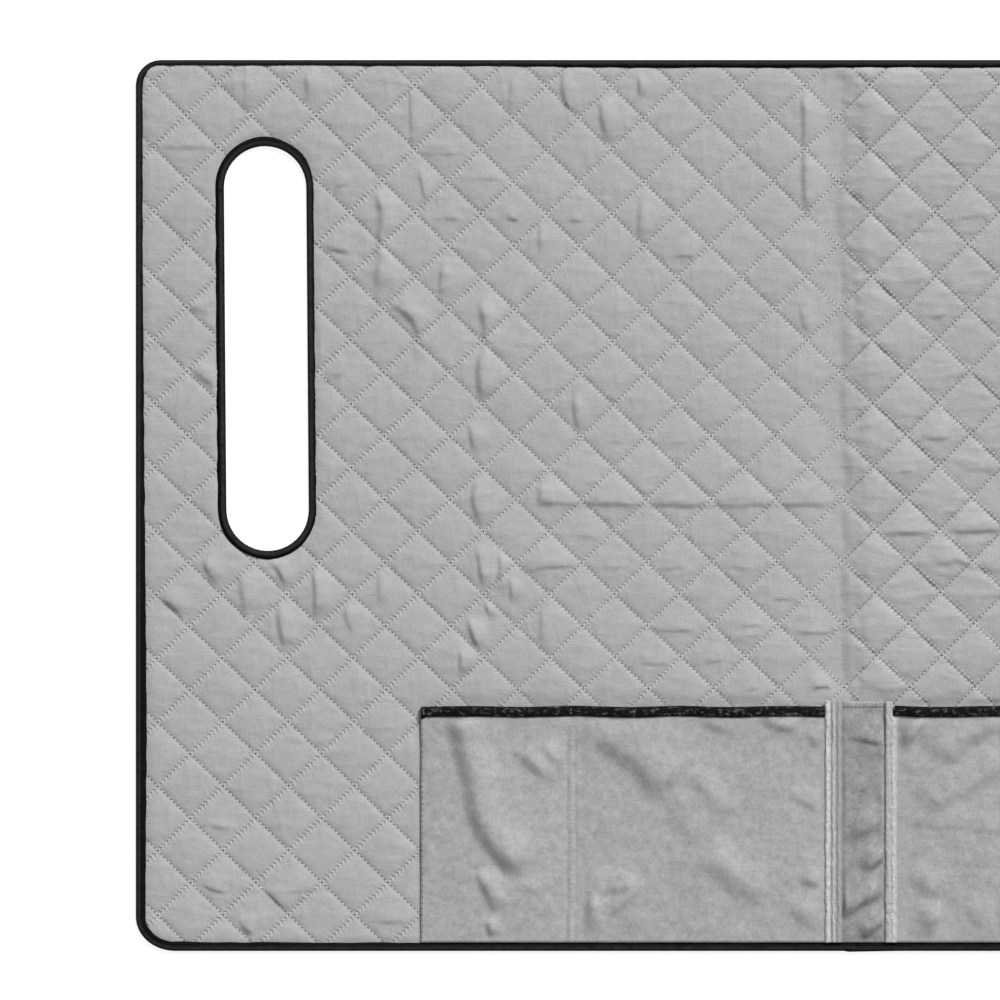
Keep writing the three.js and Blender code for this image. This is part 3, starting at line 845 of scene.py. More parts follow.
class StitchSewer(Nodes):
    """Lays stitches on rows of points with one Geometry Nodes tree."""

    SIDES = 4
    RINGS = 3

    def __init__(self) -> None:
        """Builds the tree."""
        self.tree = bpy.data.node_groups.new("stitch_rows", "GeometryNodeTree")
        self._sockets()
        self._nodes()

    def _sockets(self) -> None:
        """Adds the tree's named inputs and its output."""
        new = self.tree.interface.new_socket
        new("Geometry", in_out="OUTPUT", socket_type="NodeSocketGeometry")
        kinds = {"Geometry": "Geometry", "Length": "Float", "Width": "Float", "Height": "Float",
                 "Turn": "Float", "Seed": "Int", "Material": "Material"}
        for name, kind in kinds.items():
            new(name, in_out="INPUT", socket_type="NodeSocket" + kind)

    def _nodes(self) -> None:
        """Lays one rounded thread on every point, turned along its row."""
        entry = self.node("NodeGroupInput", {}, {}).outputs
        times = {"operation": "MULTIPLY"}
        half = {name: self.node("ShaderNodeMath", times, {0: entry[name], 1: 0.5}).outputs[0]
                for name in ("Length", "Width", "Height")}
        ball = self.node("GeometryNodeMeshUVSphere", {},
                         {"Segments": self.SIDES, "Rings": self.RINGS, "Radius": 1.0})
        size = self.node("ShaderNodeCombineXYZ", {}, {0: half["Height"], 1: half["Width"], 2: half["Length"]})
        lying = self.node("GeometryNodeTransform", {},
                          {"Geometry": ball.outputs[0], "Scale": size.outputs[0],
                           "Rotation": (0, math.pi / 2, 0)})
        soft = self.node("GeometryNodeSetShadeSmooth", {}, {"Geometry": lying.outputs[0]})
        vector = {"data_type": "FLOAT_VECTOR"}
        directions = [self.node("GeometryNodeInputNamedAttribute", vector, {"Name": name})
                      for name in ("along", "up")]
        turned = self.node("FunctionNodeAlignRotationToVector", {"axis": "X"},
                           {"Vector": directions[0].outputs[0]})
        raised = self.node("FunctionNodeAlignRotationToVector", {"axis": "Z", "pivot_axis": "X"},
                           {"Rotation": turned.outputs[0], "Vector": directions[1].outputs[0]})
        less = self.node("ShaderNodeMath", times, {0: entry["Turn"], 1: -1.0})
        number = {"data_type": "FLOAT"}
        drawn = self.node("FunctionNodeRandomValue", number,
                          {2: less.outputs[0], 3: entry["Turn"], "Seed": entry["Seed"]})
        slant = self.node("ShaderNodeCombineXYZ", {}, {2: drawn.outputs[1]})
        uneven = self.node("FunctionNodeRotateRotation", {"rotation_space": "LOCAL"},
                           {"Rotation": raised.outputs[0], "Rotate By": slant.outputs[0]})
        longer = self.node("FunctionNodeRandomValue", number, {2: 0.88, 3: 1.06, "Seed": entry["Seed"]})
        laid = self.node("GeometryNodeInstanceOnPoints", {},
                         {"Points": entry["Geometry"], "Instance": soft.outputs[0],
                          "Rotation": uneven.outputs[0], "Scale": longer.outputs[1]})
        real = self.node("GeometryNodeRealizeInstances", {}, {0: laid.outputs[0]})
        dressed = self.node("GeometryNodeSetMaterial", {},
                            {"Geometry": real.outputs[0], "Material": entry["Material"]})
        self.node("NodeGroupOutput", {}, {0: dressed.outputs[0]})

    def sew(self, name: str, rows: Sequence[Array], size: StitchSize, finish: Finish,
            seed: int = 3) -> Piece:
        """Sews rows of stitches as one piece.

        Args:
            name: The piece's name.
            rows: Each row's stitch centres, then each stitch's direction, six numbers a stitch.
            size: The stitches' size.
            finish: The thread's material.
            seed: Picks each stitch's slant and length.

        Returns:
            The piece.
        """
        stitches = np.vstack(rows)
        mesh = bpy.data.meshes.new(name + "_points")
        mesh.from_pydata((stitches[:, :3] * MM).tolist(), [], [])
        along = stitches[:, 3:] / np.linalg.norm(stitches[:, 3:], axis=1, keepdims=True)
        up = np.zeros_like(along)
        up[:, 2] = 1
        for label, vectors in (("along", along), ("up", up)):
            layer = mesh.attributes.new(label, "FLOAT_VECTOR", "POINT")
            layer.data.foreach_set("vector", vectors.astype(np.float32).ravel())
        points = placed(name + "_points", mesh)
        sewer = points.modifiers.new("stitches", "NODES")
        sewer.node_group = self.tree
        values = {"Length": size.length * MM, "Width": size.width * MM, "Height": size.height * MM,
                  "Turn": size.turn, "Seed": seed, "Material": finish}
        for item in self.tree.interface.items_tree:
            if item.in_out == "INPUT" and item.name in values:
                sewer[item.identifier] = values[item.name]
        depsgraph = bpy.context.evaluated_depsgraph_get()
        result = bpy.data.meshes.new_from_object(points.evaluated_get(depsgraph), depsgraph=depsgraph)
        bpy.data.objects.remove(points)
        bpy.data.meshes.remove(mesh)
        result.name = name
        for layer in [layer for layer in result.attributes if layer.name in ("along", "up")]:
            result.attributes.remove(layer)
        return placed(name, result)


def row_of_stitches(line: Array, top: Callable[[Array, Array], Array], lift: float) -> Array:
    """Stitch centres and directions along a line that is already stepped at the stitch length.

    Args:
        line: Places in plan.
        top: Gives the cloth's height at X and Y.
        lift: How far the thread's middle lies above the cloth.

    Returns:
        Six numbers a stitch.
    """
    middle = (line[:-1] + line[1:]) / 2
    heights = top(line[:, 0], line[:, 1])
    ends = np.column_stack([line, heights])
    centre = np.column_stack([middle, (heights[:-1] + heights[1:]) / 2 + lift])
    return np.hstack([centre, ends[1:] - ends[:-1]])


# The cover's outline


@dataclass
class Outline:
    """The cover's outer edge, and the width of the tape that binds it."""

    width: float = 1320.0
    depth: float = 812.0
    back_corner: Pair = (23.0, 23.0)
    front_corner: Pair = (36.0, 31.0)
    back_widths: tuple[Pair, ...] = ((-637, 5.0), (-330, 5.8), (-200, 7.2), (637, 7.4))
    front_widths: tuple[Pair, ...] = ((-624, 8.8), (-500, 7.8), (624, 7.8))
    left_widths: tuple[Pair, ...] = (
        (-375, 9.2), (-205, 10.2), (-110, 9.4), (60, 7.8), (220, 6.5), (383, 6.3))
    right_widths: tuple[Pair, ...] = ((-375, 8.4), (383, 7.0))

    def inset(self, x: Array, y: Array) -> Array:
        """How far each place lies inside the outer edge.

        Args:
            x, y: Places in plan.

        Returns:
            Distances, above zero inside.
        """
        along, deep = (np.where(y > 0, a, b) for a, b in zip(self.back_corner, self.front_corner))
        in_x = (np.abs(x) - (self.width / 2 - along)) / along
        in_y = (np.abs(y) - (self.depth / 2 - deep)) / deep
        straight = np.minimum(self.width / 2 - np.abs(x), self.depth / 2 - np.abs(y))
        round_end = (1 - np.hypot(in_x, in_y)) * (along + deep) / 2
        return np.where((in_x > 0) & (in_y > 0), round_end, straight)

    def tape_width(self, x: Array, y: Array) -> Array:
        """Width of the binding at the nearest side.

        Args:
            x, y: Places in plan.

        Returns:
            Widths in millimetres.
        """
        sides = np.stack([self.width / 2 + x, self.width / 2 - x, self.depth / 2 + y, self.depth / 2 - y])
        nearest = np.argmin(sides, axis=0)
        tables = (self.left_widths, self.right_widths, self.front_widths, self.back_widths)
        places = (y, y, x, x)
        widths = [np.interp(place, *np.array(table).T) for place, table in zip(places, tables)]
        return np.choose(nearest, widths)

    def loop(self, inset: float, spacing: float) -> Array:
        """Points round the outline.

        Args:
            inset: How far inside the outer edge they lie.
            spacing: Their distance.

        Returns:
            Places and inward directions, counter-clockwise from the middle of the front edge.
        """
        half_x, half_y = self.width / 2, self.depth / 2
        corners = ((half_x, -half_y, self.front_corner, -90), (half_x, half_y, self.back_corner, 0),
                   (-half_x, half_y, self.back_corner, 90), (-half_x, -half_y, self.front_corner, 180))
        line = [[0.0, -half_y + inset, 0.0, 1.0]]
        for x, y, (along, deep), start in corners:
            for angle in np.radians(np.linspace(start, start + 90, 25)):
                c, s = math.cos(angle), math.sin(angle)
                across = math.hypot(c * deep, s * along)
                nx, ny = -c * deep / across, -s * along / across
                centre_x, centre_y = x - math.copysign(along, x), y - math.copysign(deep, y)
                line.append([centre_x + along * c + inset * nx, centre_y + deep * s + inset * ny, nx, ny])
        line.append(line[0])
        return spaced(np.array(line), spacing)[:-1]


@dataclass
class Slot:
    """One armrest slot: a round-ended opening that leans a little."""

    side: int
    width: float = 74.8
    length: float = 368.6
    centre_x: float = 541.0
    centre_y: float = 143.0
    lean: float = 1.4
    outer_tape: float = 7.9
    inner_tape: float = 6.9
    back_tape: float = 8.6
    front_tape: float = 7.6

    def outset(self, x: Array, y: Array) -> Array:
        """How far each place lies outside the opening.

        Args:
            x, y: Places in plan.

        Returns:
            Distances, below zero in the opening.
        """
        dy = y - self.centre_y
        dx = x - self.side * (self.centre_x + self.lean * dy / (self.length / 2))
        radius = self.width / 2
        past = np.maximum(np.abs(dy) - (self.length / 2 - radius), 0)
        return np.hypot(dx, past) - radius

    def loop(self, outset: float, spacing: float) -> Array:
        """Points round the opening.

        Args:
            outset: How far outside it they lie.
            spacing: Their distance.

        Returns:
            Places and directions away from the opening, clockwise.
        """
        radius = self.width / 2
        straight = self.length / 2 - radius
        line = []
        for sign in (1, -1):
            for angle in np.radians(np.linspace(180, 0, 33)):
                nx, ny = sign * math.cos(angle), sign * math.sin(angle)
                line.append([(radius + outset) * nx, sign * straight + (radius + outset) * ny, nx, ny])
        line.append(line[0])
        points = spaced(np.array(line), spacing)[:-1]
        points[:, 0] += self.side * (self.centre_x + self.lean * points[:, 1] / (self.length / 2))
        points[:, 1] += self.centre_y
        return points

    def tape_width(self, nx: Array, ny: Array) -> Array:
        """Width of the binding where it faces the given way.

        Args:
            nx, ny: Directions away from the opening.

        Returns:
            Widths in millimetres.
        """
        facing_out = nx * self.side > 0
        side_width = np.where(facing_out, self.outer_tape, self.inner_tape)
        end_width = np.where(ny > 0, self.back_tape, self.front_tape)
        return mix(side_width, end_width, np.abs(ny))


# Quilted cloth


@dataclass
class Quilting:
    """Two families of stitched lines that part the cloth into diamonds.

    A rising line has a whole number m, a falling one a whole number n.
    """

    pitch: float = 58.6
    rising_start: float = -32.0
    rising_gain: float = 9.3
    dip: float = 3.2
    falling_start: float = 33.6
    along_gain: float = 5.9
    down_gain: float = 6.8
    corner_gain: float = 7.8
    left: float = -638.0
    back: float = 388.0
    rising_stop: float = -200.0
    dip_at: Pair = (-220.0, -130.0)
    dip_size: Pair = (260.0, 140.0)
    falling_size: Pair = (656.0, 547.0)
    falling_bend: float = 1.5
    reach: int = 20

    @property
    def cell(self) -> float:
        """Side of one diamond."""
        return self.pitch / math.sqrt(2)

    def rising_drift(self, x: Array, y: Array) -> Array:
        """How far the rising lines have run off.

        Args:
            x, y: Places in plan.

        Returns:
            The drift in millimetres.
        """
        aside, away = (x - self.dip_at[0]) / self.dip_size[0], (y - self.dip_at[1]) / self.dip_size[1]
        gain = self.rising_gain * smooth(x, self.left, self.rising_stop)
        return self.rising_start + gain - self.dip * np.exp(-(aside**2) - away**2)

    def falling_drift(self, x: Array, y: Array) -> Array:
        """How far the falling lines have run off.

        Args:
            x, y: Places in plan.

        Returns:
            The drift in millimetres.
        """
        along = np.clip((x - self.left) / self.falling_size[0], 0, 1.15)
        down = np.clip((self.back - y) / self.falling_size[1], 0, 1.1)
        gain = (self.down_gain + self.corner_gain * along) * down**self.falling_bend
        return self.falling_start + self.along_gain * along + gain

    def numbers(self, x: Array, y: Array) -> tuple[Array, Array]:
        """The line numbers m and n at each place."""
        return (x - y - self.rising_drift(x, y)) / self.pitch, (x + y - self.falling_drift(x, y)) / self.pitch

    def place(self, m: Array, n: Array) -> tuple[Array, Array]:
        """The place that has line numbers m and n.

        Args:
            m, n: Line numbers.

        Returns:
            Places in plan.
        """
        x, y = self.pitch * (m + n) / 2, self.pitch * (n - m) / 2
        for _ in range(6):
            rising = self.pitch * m + self.rising_drift(x, y)
            falling = self.pitch * n + self.falling_drift(x, y)
            x, y = (rising + falling) / 2, (falling - rising) / 2
        return x, y


# Each fold has its path, its rise, the width of its steep side and the reach of its gentle side.
PACK_CREASE = Fold(
    ((-7, -172), (-8, -114), (-9, -68), (-7, -36), (-9, -9), (-6, 23), (-9, 51), (-10, 87), (-9, 124),
     (-10, 165), (-8, 196), (-10, 222), (-14, 256), (-14, 288), (-10, 310), (-8, 356), (-8, 401)),
    -3.2, 16, 24, True)
PACK_SWELL = Fold(
    ((1, 401), (0, 310), (-4, 256), (0, 196), (0, 124), (1, 23), (0, -68), (2, -172)),
    2.2, 15, 42)
CROSS_CREASES = fold_table(
    (((-296, 2), (-251, 1), (-196, 0), (-135, -1), (-77, 0), (-22, 0)), 1.8, 6, 24),
    (((22, -25), (41, -26), (62, -24)), 1.9, 6, 20),
    (((78, -25), (105, -24), (141, -23)), 2.8, 6, 20),
    (((62, -55), (91, -52), (114, -60), (141, -59)), 1.7, 7, 18),
    (((-306, -62), (-287, -57), (-257, -56)), 1.8, 5, 16),
    (((-237, -57), (-212, -57)), 0.8, 5, 12),
    (((-187, -58), (-153, -58)), 0.8, 5, 12),
    (((-117, -58), (-94, -58)), 0.8, 5, 12),
    (((-189, -115), (-149, -114)), 1.3, 4, 10),
    (((-113, -111), (-85, -109)), 0.9, 3.5, 5),
    (((-113, -120), (-85, -118)), 0.9, 3.5, 5),
    (((-60, -116), (-27, -116), (-11, -108)), 1.3, 4, 12),
    (((-84, -86), (-57, -86)), 1, 4, 12),
    (((-143, -144), (-120, -141)), 1.1, 4, 10),
    (((-107, -169), (-91, -167)), 1, 4, 10),
    (((-44, -169), (-35, -165), (-25, -168)), 3.2, 4.5, 10),
    (((-202, -145), (-176, -145)), 0.9, 4, 10),
    (((57, 59), (85, 62)), 1.9, 5, 14),
    (((88, 31), (137, 33)), 1.1, 5, 14),
    (((35, 30), (52, 31)), 1, 4, 10),
    (((-175, 55), (-148, 58)), 0.9, 5, 14),
    (((-235, 57), (-216, 57)), 0.9, 4, 10),
    (((-264, -27), (-235, -31)), 0.9, 6, 14),
    (((35, 200), (64, 207)), 1.1, 6, 14),
    (((64, 170), (80, 173)), 1.1, 4, 10),
    (((87, 261), (117, 265)), 1, 5, 12),
    (((-324, 261), (-310, 259)), 1.8, 4, 10),
    (((-266, 259), (-252, 258)), 1.4, 4, 10),
    (((-381, 261), (-363, 260)), 1.1, 4, 10),
    (((-171, 227), (-149, 226)), 1.5, 4, 12),
    (((-401, 320), (-357, 319)), 0.9, 3.5, 10),
    (((-352, 297), (-326, 296)), 0.9, 4, 10),
    (((-490, 233), (-463, 230)), 1.9, 5, 12),
    (((-480, 289), (-465, 292)), 1.8, 5, 10),
    (((-485, 116), (-465, 120)), 1.4, 9, 12),
    (((-613, 178), (-596, 176)), 2, 8, 10),
    (((-645, 326), (-587, 325)), 0.9, 5, 12),
    (((-531, -353), (-510, -352), (-489, -349)), 1, 4, 14),
    (((-595, -291), (-572, -296)), 0.9, 5, 12),
    (((-450, -205), (-422, -202)), 0.9, 5, 12),
    (((-448, -380), (-414, -380)), 0.9, 4, 10),
)
UPRIGHT_CREASES = fold_table(
    (((-54, 377), (-52, 347), (-52, 322), (-52, 297), (-51, 265)), 3, 6, 14),
    (((-56, 187), (-52, 165), (-45, 153)), 1.6, 5, 10),
    (((-411, 390), (-410, 361), (-409, 328)), 1.6, 4, 10),
    (((-402, 308), (-400, 292), (-396, 274)), 1.9, 4, 8),
    (((-317, 395), (-319, 374), (-321, 353)), 1.6, 4.5, 10),
    (((-271, 397), (-271, 372), (-262, 355)), 2.6, 5, 10),
    (((-237, 373), (-236, 351), (-231, 331)), 2.9, 6, 14),
    (((-202, 392), (-202, 372)), 2.6, 5, 8),
    (((-200, 282), (-202, 258), (-203, 240)), 2.4, 6, 12),
    (((-292, 260), (-293, 229)), 1.6, 4, 10),
    (((-381, 224), (-383, 196), (-381, 186)), 2.1, 5, 12),
    (((-348, 189), (-344, 167), (-343, 146), (-348, 131), (-348, 110), (-346, 94)), 3.5, 7, 14),
    (((-261, 103), (-261, 83), (-256, 66)), 2.2, 4.5, 10),
    (((-357, 74), (-355, 62), (-353, 49)), 2.7, 5, 10),
    (((-349, 26), (-353, 10), (-351, -6), (-345, -21)), 3, 6, 14),
    (((-291, 20), (-293, -1)), 1.9, 5, 10),
    (((-349, -37), (-347, -59), (-343, -79)), 2.6, 5, 9),
    (((-328, -42), (-329, -63), (-336, -75)), 3.2, 5, 9),
    (((-343, -84), (-338, -103)), 2.2, 4, 8),
    (((-358, -103), (-354, -119), (-347, -133)), 3.4, 5, 9),
    (((-364, -129), (-365, -153)), 2.9, 5, 9),
    (((-291, -84), (-291, -130)), 1.6, 4, 10),
    (((-319, -66), (-318, -88)), 1.8, 4, 8),
    (((-443, 288), (-437, 265), (-440, 242), (-439, 222), (-444, 197)), 3.2, 7, 12),
    (((-430, 183), (-412, 172), (-404, 155), (-406, 134)), 2.9, 7, 12),
    (((-505, 397), (-504, 368)), 2.4, 6, 12),
    (((-560, 395), (-562, 361)), 1.8, 6, 12),
    (((-499, -55), (-497, -77), (-498, -101)), 3.5, 5, 12),
    (((-567, -55), (-563, -84), (-559, -99)), 2.6, 8, 14),
    (((-528, -86), (-530, -106), (-525, -132)), 3, 6, 12),
    (((-599, -46), (-595, -60), (-587, -72)), 3, 6, 10),
    (((-536, -54), (-529, -62), (-524, -75)), 3.2, 5, 10),
    (((-467, -84), (-469, -103), (-462, -117)), 1.8, 5, 10),
    (((-438, -59), (-440, -90)), 1.9, 5, 10),
    (((-643, -83), (-629, -91), (-617, -103)), 3, 6, 12),
    (((-603, -344), (-591, -350), (-575, -354)), 1.8, 4, 12),
    (((-543, -350), (-534, -359), (-522, -371)), 2.2, 5, 12),
    (((-567, -378), (-560, -387), (-552, -393)), 2.9, 6, 12),
    (((-611, 125), (-600, 116), (-587, 107)), 2.7, 7, 10),
)
CREASES = (PACK_CREASE, PACK_SWELL, *CROSS_CREASES, *UPRIGHT_CREASES)


@dataclass
class QuiltedPanel:
    """The cover's quilted cloth, cut to the outline and the slots."""

    outline: Outline
    slots: tuple[Slot, Slot]
    quilting: Quilting
    line_height: float = 2.6
    shoulder: float = 0.8
    pinch_reach: float = 1.3
    left_crowns: Pair = (0.1, 1.0)
    right_crowns: Pair = (2.2, 0.5)
    run_on: float = 0.7
    least_height: float = 1.6
    unevenness: float = 0.12
    pucker: float = 0.25
    pucker_length: float = 11.0
    soft_wave: float = 0.16
    fine_wave: float = 0.12
    slow_wave: float = 0.3
    hem_inset: float = 2.0
    hem_top: float = 2.3
    hem_bottom: float = 1.2
    clear_of_rim: float = 1.0
    rim_spacing: float = 4.0
    pressed_left: float = -404.2
    pressed_right: float = 400.8
    pressed_back: float = -176.4
    pressed_share: float = 0.34
    pressed_ease: float = 3.0
    under_lift: float = 0.8
    steps: tuple[float, ...] = (0, 0.03, 0.09, 0.18, 0.29, 0.4, 0.5, 0.6, 0.71, 0.82, 0.91, 0.97)
    crease_clearance: float = 2.2
    second_row: float = 0.055
    doubled_from: float = -14.0
    clear_of_tape: float = 1.6

    def rim_reach(self, x: Array, y: Array) -> Array:
        """How far each place lies from the nearest cut edge, above zero on the cloth."""
        edges = [self.outline.inset(x, y), *(slot.outset(x, y) for slot in self.slots)]
        return np.minimum.reduce(edges)

    def bare_reach(self, x: Array, y: Array) -> Array:
        """How far each place lies inwards of the binding's inner edge.

        Args:
            x, y: Places in plan.

        Returns:
            Distances, above zero where the cloth shows.
        """
        edges = [self.outline.inset(x, y) - self.outline.tape_width(x, y)]
        for slot in self.slots:
            dx, dy = x - slot.side * slot.centre_x, y - slot.centre_y
            past = np.sign(dy) * np.maximum(np.abs(dy) - (slot.length - slot.width) / 2, 0)
            size = np.maximum(np.hypot(dx, past), 1e-6)
            edges.append(slot.outset(x, y) - slot.tape_width(dx / size, past / size))
        return np.minimum.reduce(edges)

    def pressed(self, x: Array, y: Array) -> Array:
        """Share by which the pockets press the cloth flat.

        Args:
            x, y: Places in plan.

        Returns:
            Shares from 0 to 1.
        """
        ease = self.pressed_ease
        in_x = smooth(x, self.pressed_left - ease, self.pressed_left + ease)
        in_x = in_x * smooth(-x, -self.pressed_right - ease, -self.pressed_right + ease)
        return in_x * smooth(-y, -self.pressed_back - ease, -self.pressed_back + ease)

    def puff(self, x: Array, y: Array) -> tuple[Array, Array]:
        """How far the filling lifts the cloth between its quilting lines.

        Left of the pack crease the diamonds are rounded across their falling lines, right of it more
        across their rising ones.

        Args:
            x, y: Places in plan.

        Returns:
            The lift, and how free of the nearest line each place is, from 0 to 1.
        """
        m, n = self.quilting.numbers(x, y)
        in_m, in_n = m - np.floor(m), n - np.floor(n)
        near_m = np.minimum(in_m, 1 - in_m) * self.quilting.cell
        near_n = np.minimum(in_n, 1 - in_n) * self.quilting.cell
        free = (1 - np.exp(-near_m / self.pinch_reach)) * (1 - np.exp(-near_n / self.pinch_reach))
        right = smooth(x, -40, 10)
        crown_m, crown_n = (mix(a, b, right) for a, b in zip(self.left_crowns, self.right_crowns))
        round_m, round_n = 4 * in_m * (1 - in_m), 4 * in_n * (1 - in_n)
        uneven = 1 + self.unevenness * np.sin(1.7 * np.floor(m) + 2.3 * np.floor(n)) - self.unevenness
        tuck_m, tuck_n = (mix(np.minimum(1, 1.6 * other), 1.0, self.run_on * right)
                          for other in (round_n, round_m))
        plump = crown_m * round_m * tuck_m + crown_n * round_n * tuck_n
        lift = uneven * (free * self.shoulder + plump)
        return lift, free * np.sqrt(round_m * round_n)

    def top(self, x: Array, y: Array) -> Array:
        """Height of the cloth's face.

        Args:
            x, y: Places in plan.

        Returns:
            Heights in millimetres.
        """
        lift, free = self.puff(x, y)
        height = self.line_height + lift
        height += self.pucker * (1 - free) * lift * ripple(x, y, self.pucker_length, 5)
        height += self.soft_wave * free * ripple(x / 1.8, y, 17.0, 8)
        height += self.fine_wave * free * ripple(x, y, 9.0, 9)
        height += self.slow_wave * ripple(x, y, 90.0, 10)
        for crease in CREASES:
            height += crease.height(x, y) * (0.5 + 0.5 * free)
        flat = self.line_height + self.pressed_share * (height - self.line_height)
        height = mix(height, flat, self.pressed(x, y))
        height = np.maximum(height, self.least_height)
        return mix(self.hem_top, height, smooth(self.bare_reach(x, y), -1.5, 3.0))

    def bottom(self, x: Array, y: Array) -> Array:
        """Height of the cloth's underside, which the stitches pull up a little.

        Args:
            x, y: Places in plan.

        Returns:
            Heights in millimetres.
        """
        m, n = self.quilting.numbers(x, y)
        dome = np.sqrt(np.abs(np.sin(math.pi * m) * np.sin(math.pi * n)))
        height = self.under_lift * (1 - dome)
        return mix(self.hem_bottom, height, smooth(self.bare_reach(x, y), -1.0, 4.0))

    def covered(self, x: Array, y: Array, beside: float, behind: float) -> Array:
        """Whether the pockets cover each place, so far inside their ends and so far from their mouths."""
        inside = (x > self.pressed_left + beside) & (x < self.pressed_right - beside)
        return inside & (y < self.pressed_back - behind)

    def hidden(self, x: Array, y: Array) -> Array:
        """Whether the pockets cover each place well inside their edges."""
        return self.covered(x, y, 14, 18)

    def skin(self) -> Skin:
        """Builds the cloth, with its line numbers as its map.

        Returns:
            The closed skin.
        """
        rims = [self.outline.loop(self.hem_inset, self.rim_spacing)[:, :2]]
        rims += [slot.loop(self.hem_inset, self.rim_spacing)[:, :2] for slot in self.slots]
        skin = Skin()
        upper = self._face(skin, rims, self.steps, True)
        lower = self._face(skin, rims, (0.0, 0.25, 0.5, 0.75), False)
        for high, low in zip(upper, lower):
            skin.add_grid(np.stack([np.append(ring, ring[0]) for ring in (low, high)], axis=1))
        return skin

    def _face(self, skin: Skin, rims: list[Array], steps: tuple[float, ...], is_top: bool) -> list[Array]:
        """Builds the upper or the lower face on the quilting's own grid.

        Args:
            skin: Takes the points and faces.
            rims: The cut edges.
            steps: Grid lines within a diamond, as shares of its side.
            is_top: Whether this is the upper face.

        Returns:
            The numbers of the points on each cut edge.
        """
        reach = self.quilting.reach
        grid = np.concatenate([whole + np.array(steps) for whole in range(-reach, reach)])
        m, n = np.meshgrid(grid, grid, indexing="ij")
        x, y = self.quilting.place(m, n)
        room = self.rim_reach(x, y) - self.hem_inset
        free = room > self.clear_of_rim
        near_crease = np.zeros(x.shape, bool)
        creases = CREASES if is_top else ()
        for crease in creases:
            near_crease |= self._near(crease, x, y)
        on_line = np.arange(len(grid)) % len(steps) == 0
        on_line = on_line[:, None] | on_line[None, :]
        whole = free & ~near_crease & ~(self.hidden(x, y) if is_top else np.zeros(x.shape, bool))
        kept = np.logical_and.reduce(corners_of(whole))
        used = np.zeros(x.shape, bool)
        for corner in corners_of(used):
            corner |= kept
        coarse = np.arange(len(grid)) % 3 == 0
        loose = free & ~used & (~self.hidden(x, y) | (coarse[:, None] & coarse[None, :]))
        loose &= ~near_crease | on_line
        numbers = np.full(x.shape, -1)
        height = self.top if is_top else self.bottom
        held = used | loose
        px, py = x[held], y[held]
        extra = [self._crease_points(crease) for crease in creases]
        joined = self._thinned(np.vstack(extra)) if extra else np.empty((0, 2))
        ends = np.cumsum([0] + [len(rim) for rim in rims])
        all_x = np.concatenate([px, joined[:, 0], *(rim[:, 0] for rim in rims)])
        all_y = np.concatenate([py, joined[:, 1], *(rim[:, 1] for rim in rims)])
        chart = np.stack(self.quilting.numbers(all_x, all_y), axis=-1)
        points = skin.add_points(np.stack([all_x, all_y, height(all_x, all_y)], axis=-1), chart)
        numbers[held] = points[:len(px)]
        rim_start = len(px) + len(joined)
        rim_numbers = [points[rim_start + a:rim_start + b] for a, b in zip(ends, ends[1:])]
        quads = np.stack(corners_of(numbers), axis=-1)[kept]
        skin.add_faces(quads if is_top else quads[:, ::-1])
        border = self._border(kept, numbers)
        fill = self._fill(all_x, all_y, points, loose[held], len(px), border, rim_numbers, kept, grid)
        skin.add_faces(fill if is_top else fill[:, ::-1])
        return rim_numbers

    def _near(self, crease: Fold, x: Array, y: Array) -> Array:
        """Whether each place is in a crease's own band of points.

        Args:
            crease: The crease.
            x, y: Places in plan.

        Returns:
            True in its band.
        """
        near = crease.near(x, y)
        found = np.zeros(x.shape, bool)
        away, _, _ = crease.measure(x[near], y[near])
        found[near] = np.abs(away) < crease.width / 2 + self.crease_clearance
        return found

    def _crease_points(self, crease: Fold) -> Array:
        """A crease's own points, where the cloth shows and clear of the quilting lines.

        Args:
            crease: The crease.

        Returns:
            Places in plan.
        """
        rows = crease.rows(3.0)
        x, y = rows.T
        m, n = self.quilting.numbers(x, y)
        off_line = np.minimum(np.abs(m - np.round(m)), np.abs(n - np.round(n))) * self.quilting.cell > 0.7
        room = self.rim_reach(x, y) - self.hem_inset
        return rows[off_line & (room > self.clear_of_rim) & ~self.hidden(x, y)]

    @staticmethod
    def _thinned(points: Array) -> Array:
        """Points without the ones that crowd another, where two creases cross."""
        _, first = np.unique(np.round(points / 1.1).astype(int), axis=0, return_index=True)
        return points[np.sort(first)]

    @staticmethod
    def _border(kept: Array, numbers: Array) -> Array:
        """The edges of the kept squares that no other kept square shares.

        Args:
            kept: Which squares are kept.
            numbers: The grid's point numbers.

        Returns:
            Pairs of point numbers.
        """
        full = np.pad(kept, 1)
        corners = corners_of(numbers)
        neighbours = (full[1:-1, :-2], full[2:, 1:-1], full[1:-1, 2:], full[:-2, 1:-1])
        edges = []
        for k, beyond in enumerate(neighbours):
            open_side = kept & ~beyond
            edges.append(np.stack([corners[k][open_side], corners[(k + 1) % 4][open_side]], axis=-1))
        return np.vstack(edges)

    def _in_square(self, kept: Array, grid: Array, x: Array, y: Array) -> Array:
        """Whether each place lies in a kept square.

        Args:
            kept: Which squares are kept.
            grid: The grid's line numbers.
            x, y: Places in plan.

        Returns:
            True in a kept square.
        """
        last = len(kept) - 1
        m, n = self.quilting.numbers(x, y)
        i, j = (np.clip(np.searchsorted(grid, part, side="right") - 1, 0, last) for part in (m, n))
        return kept[i, j]

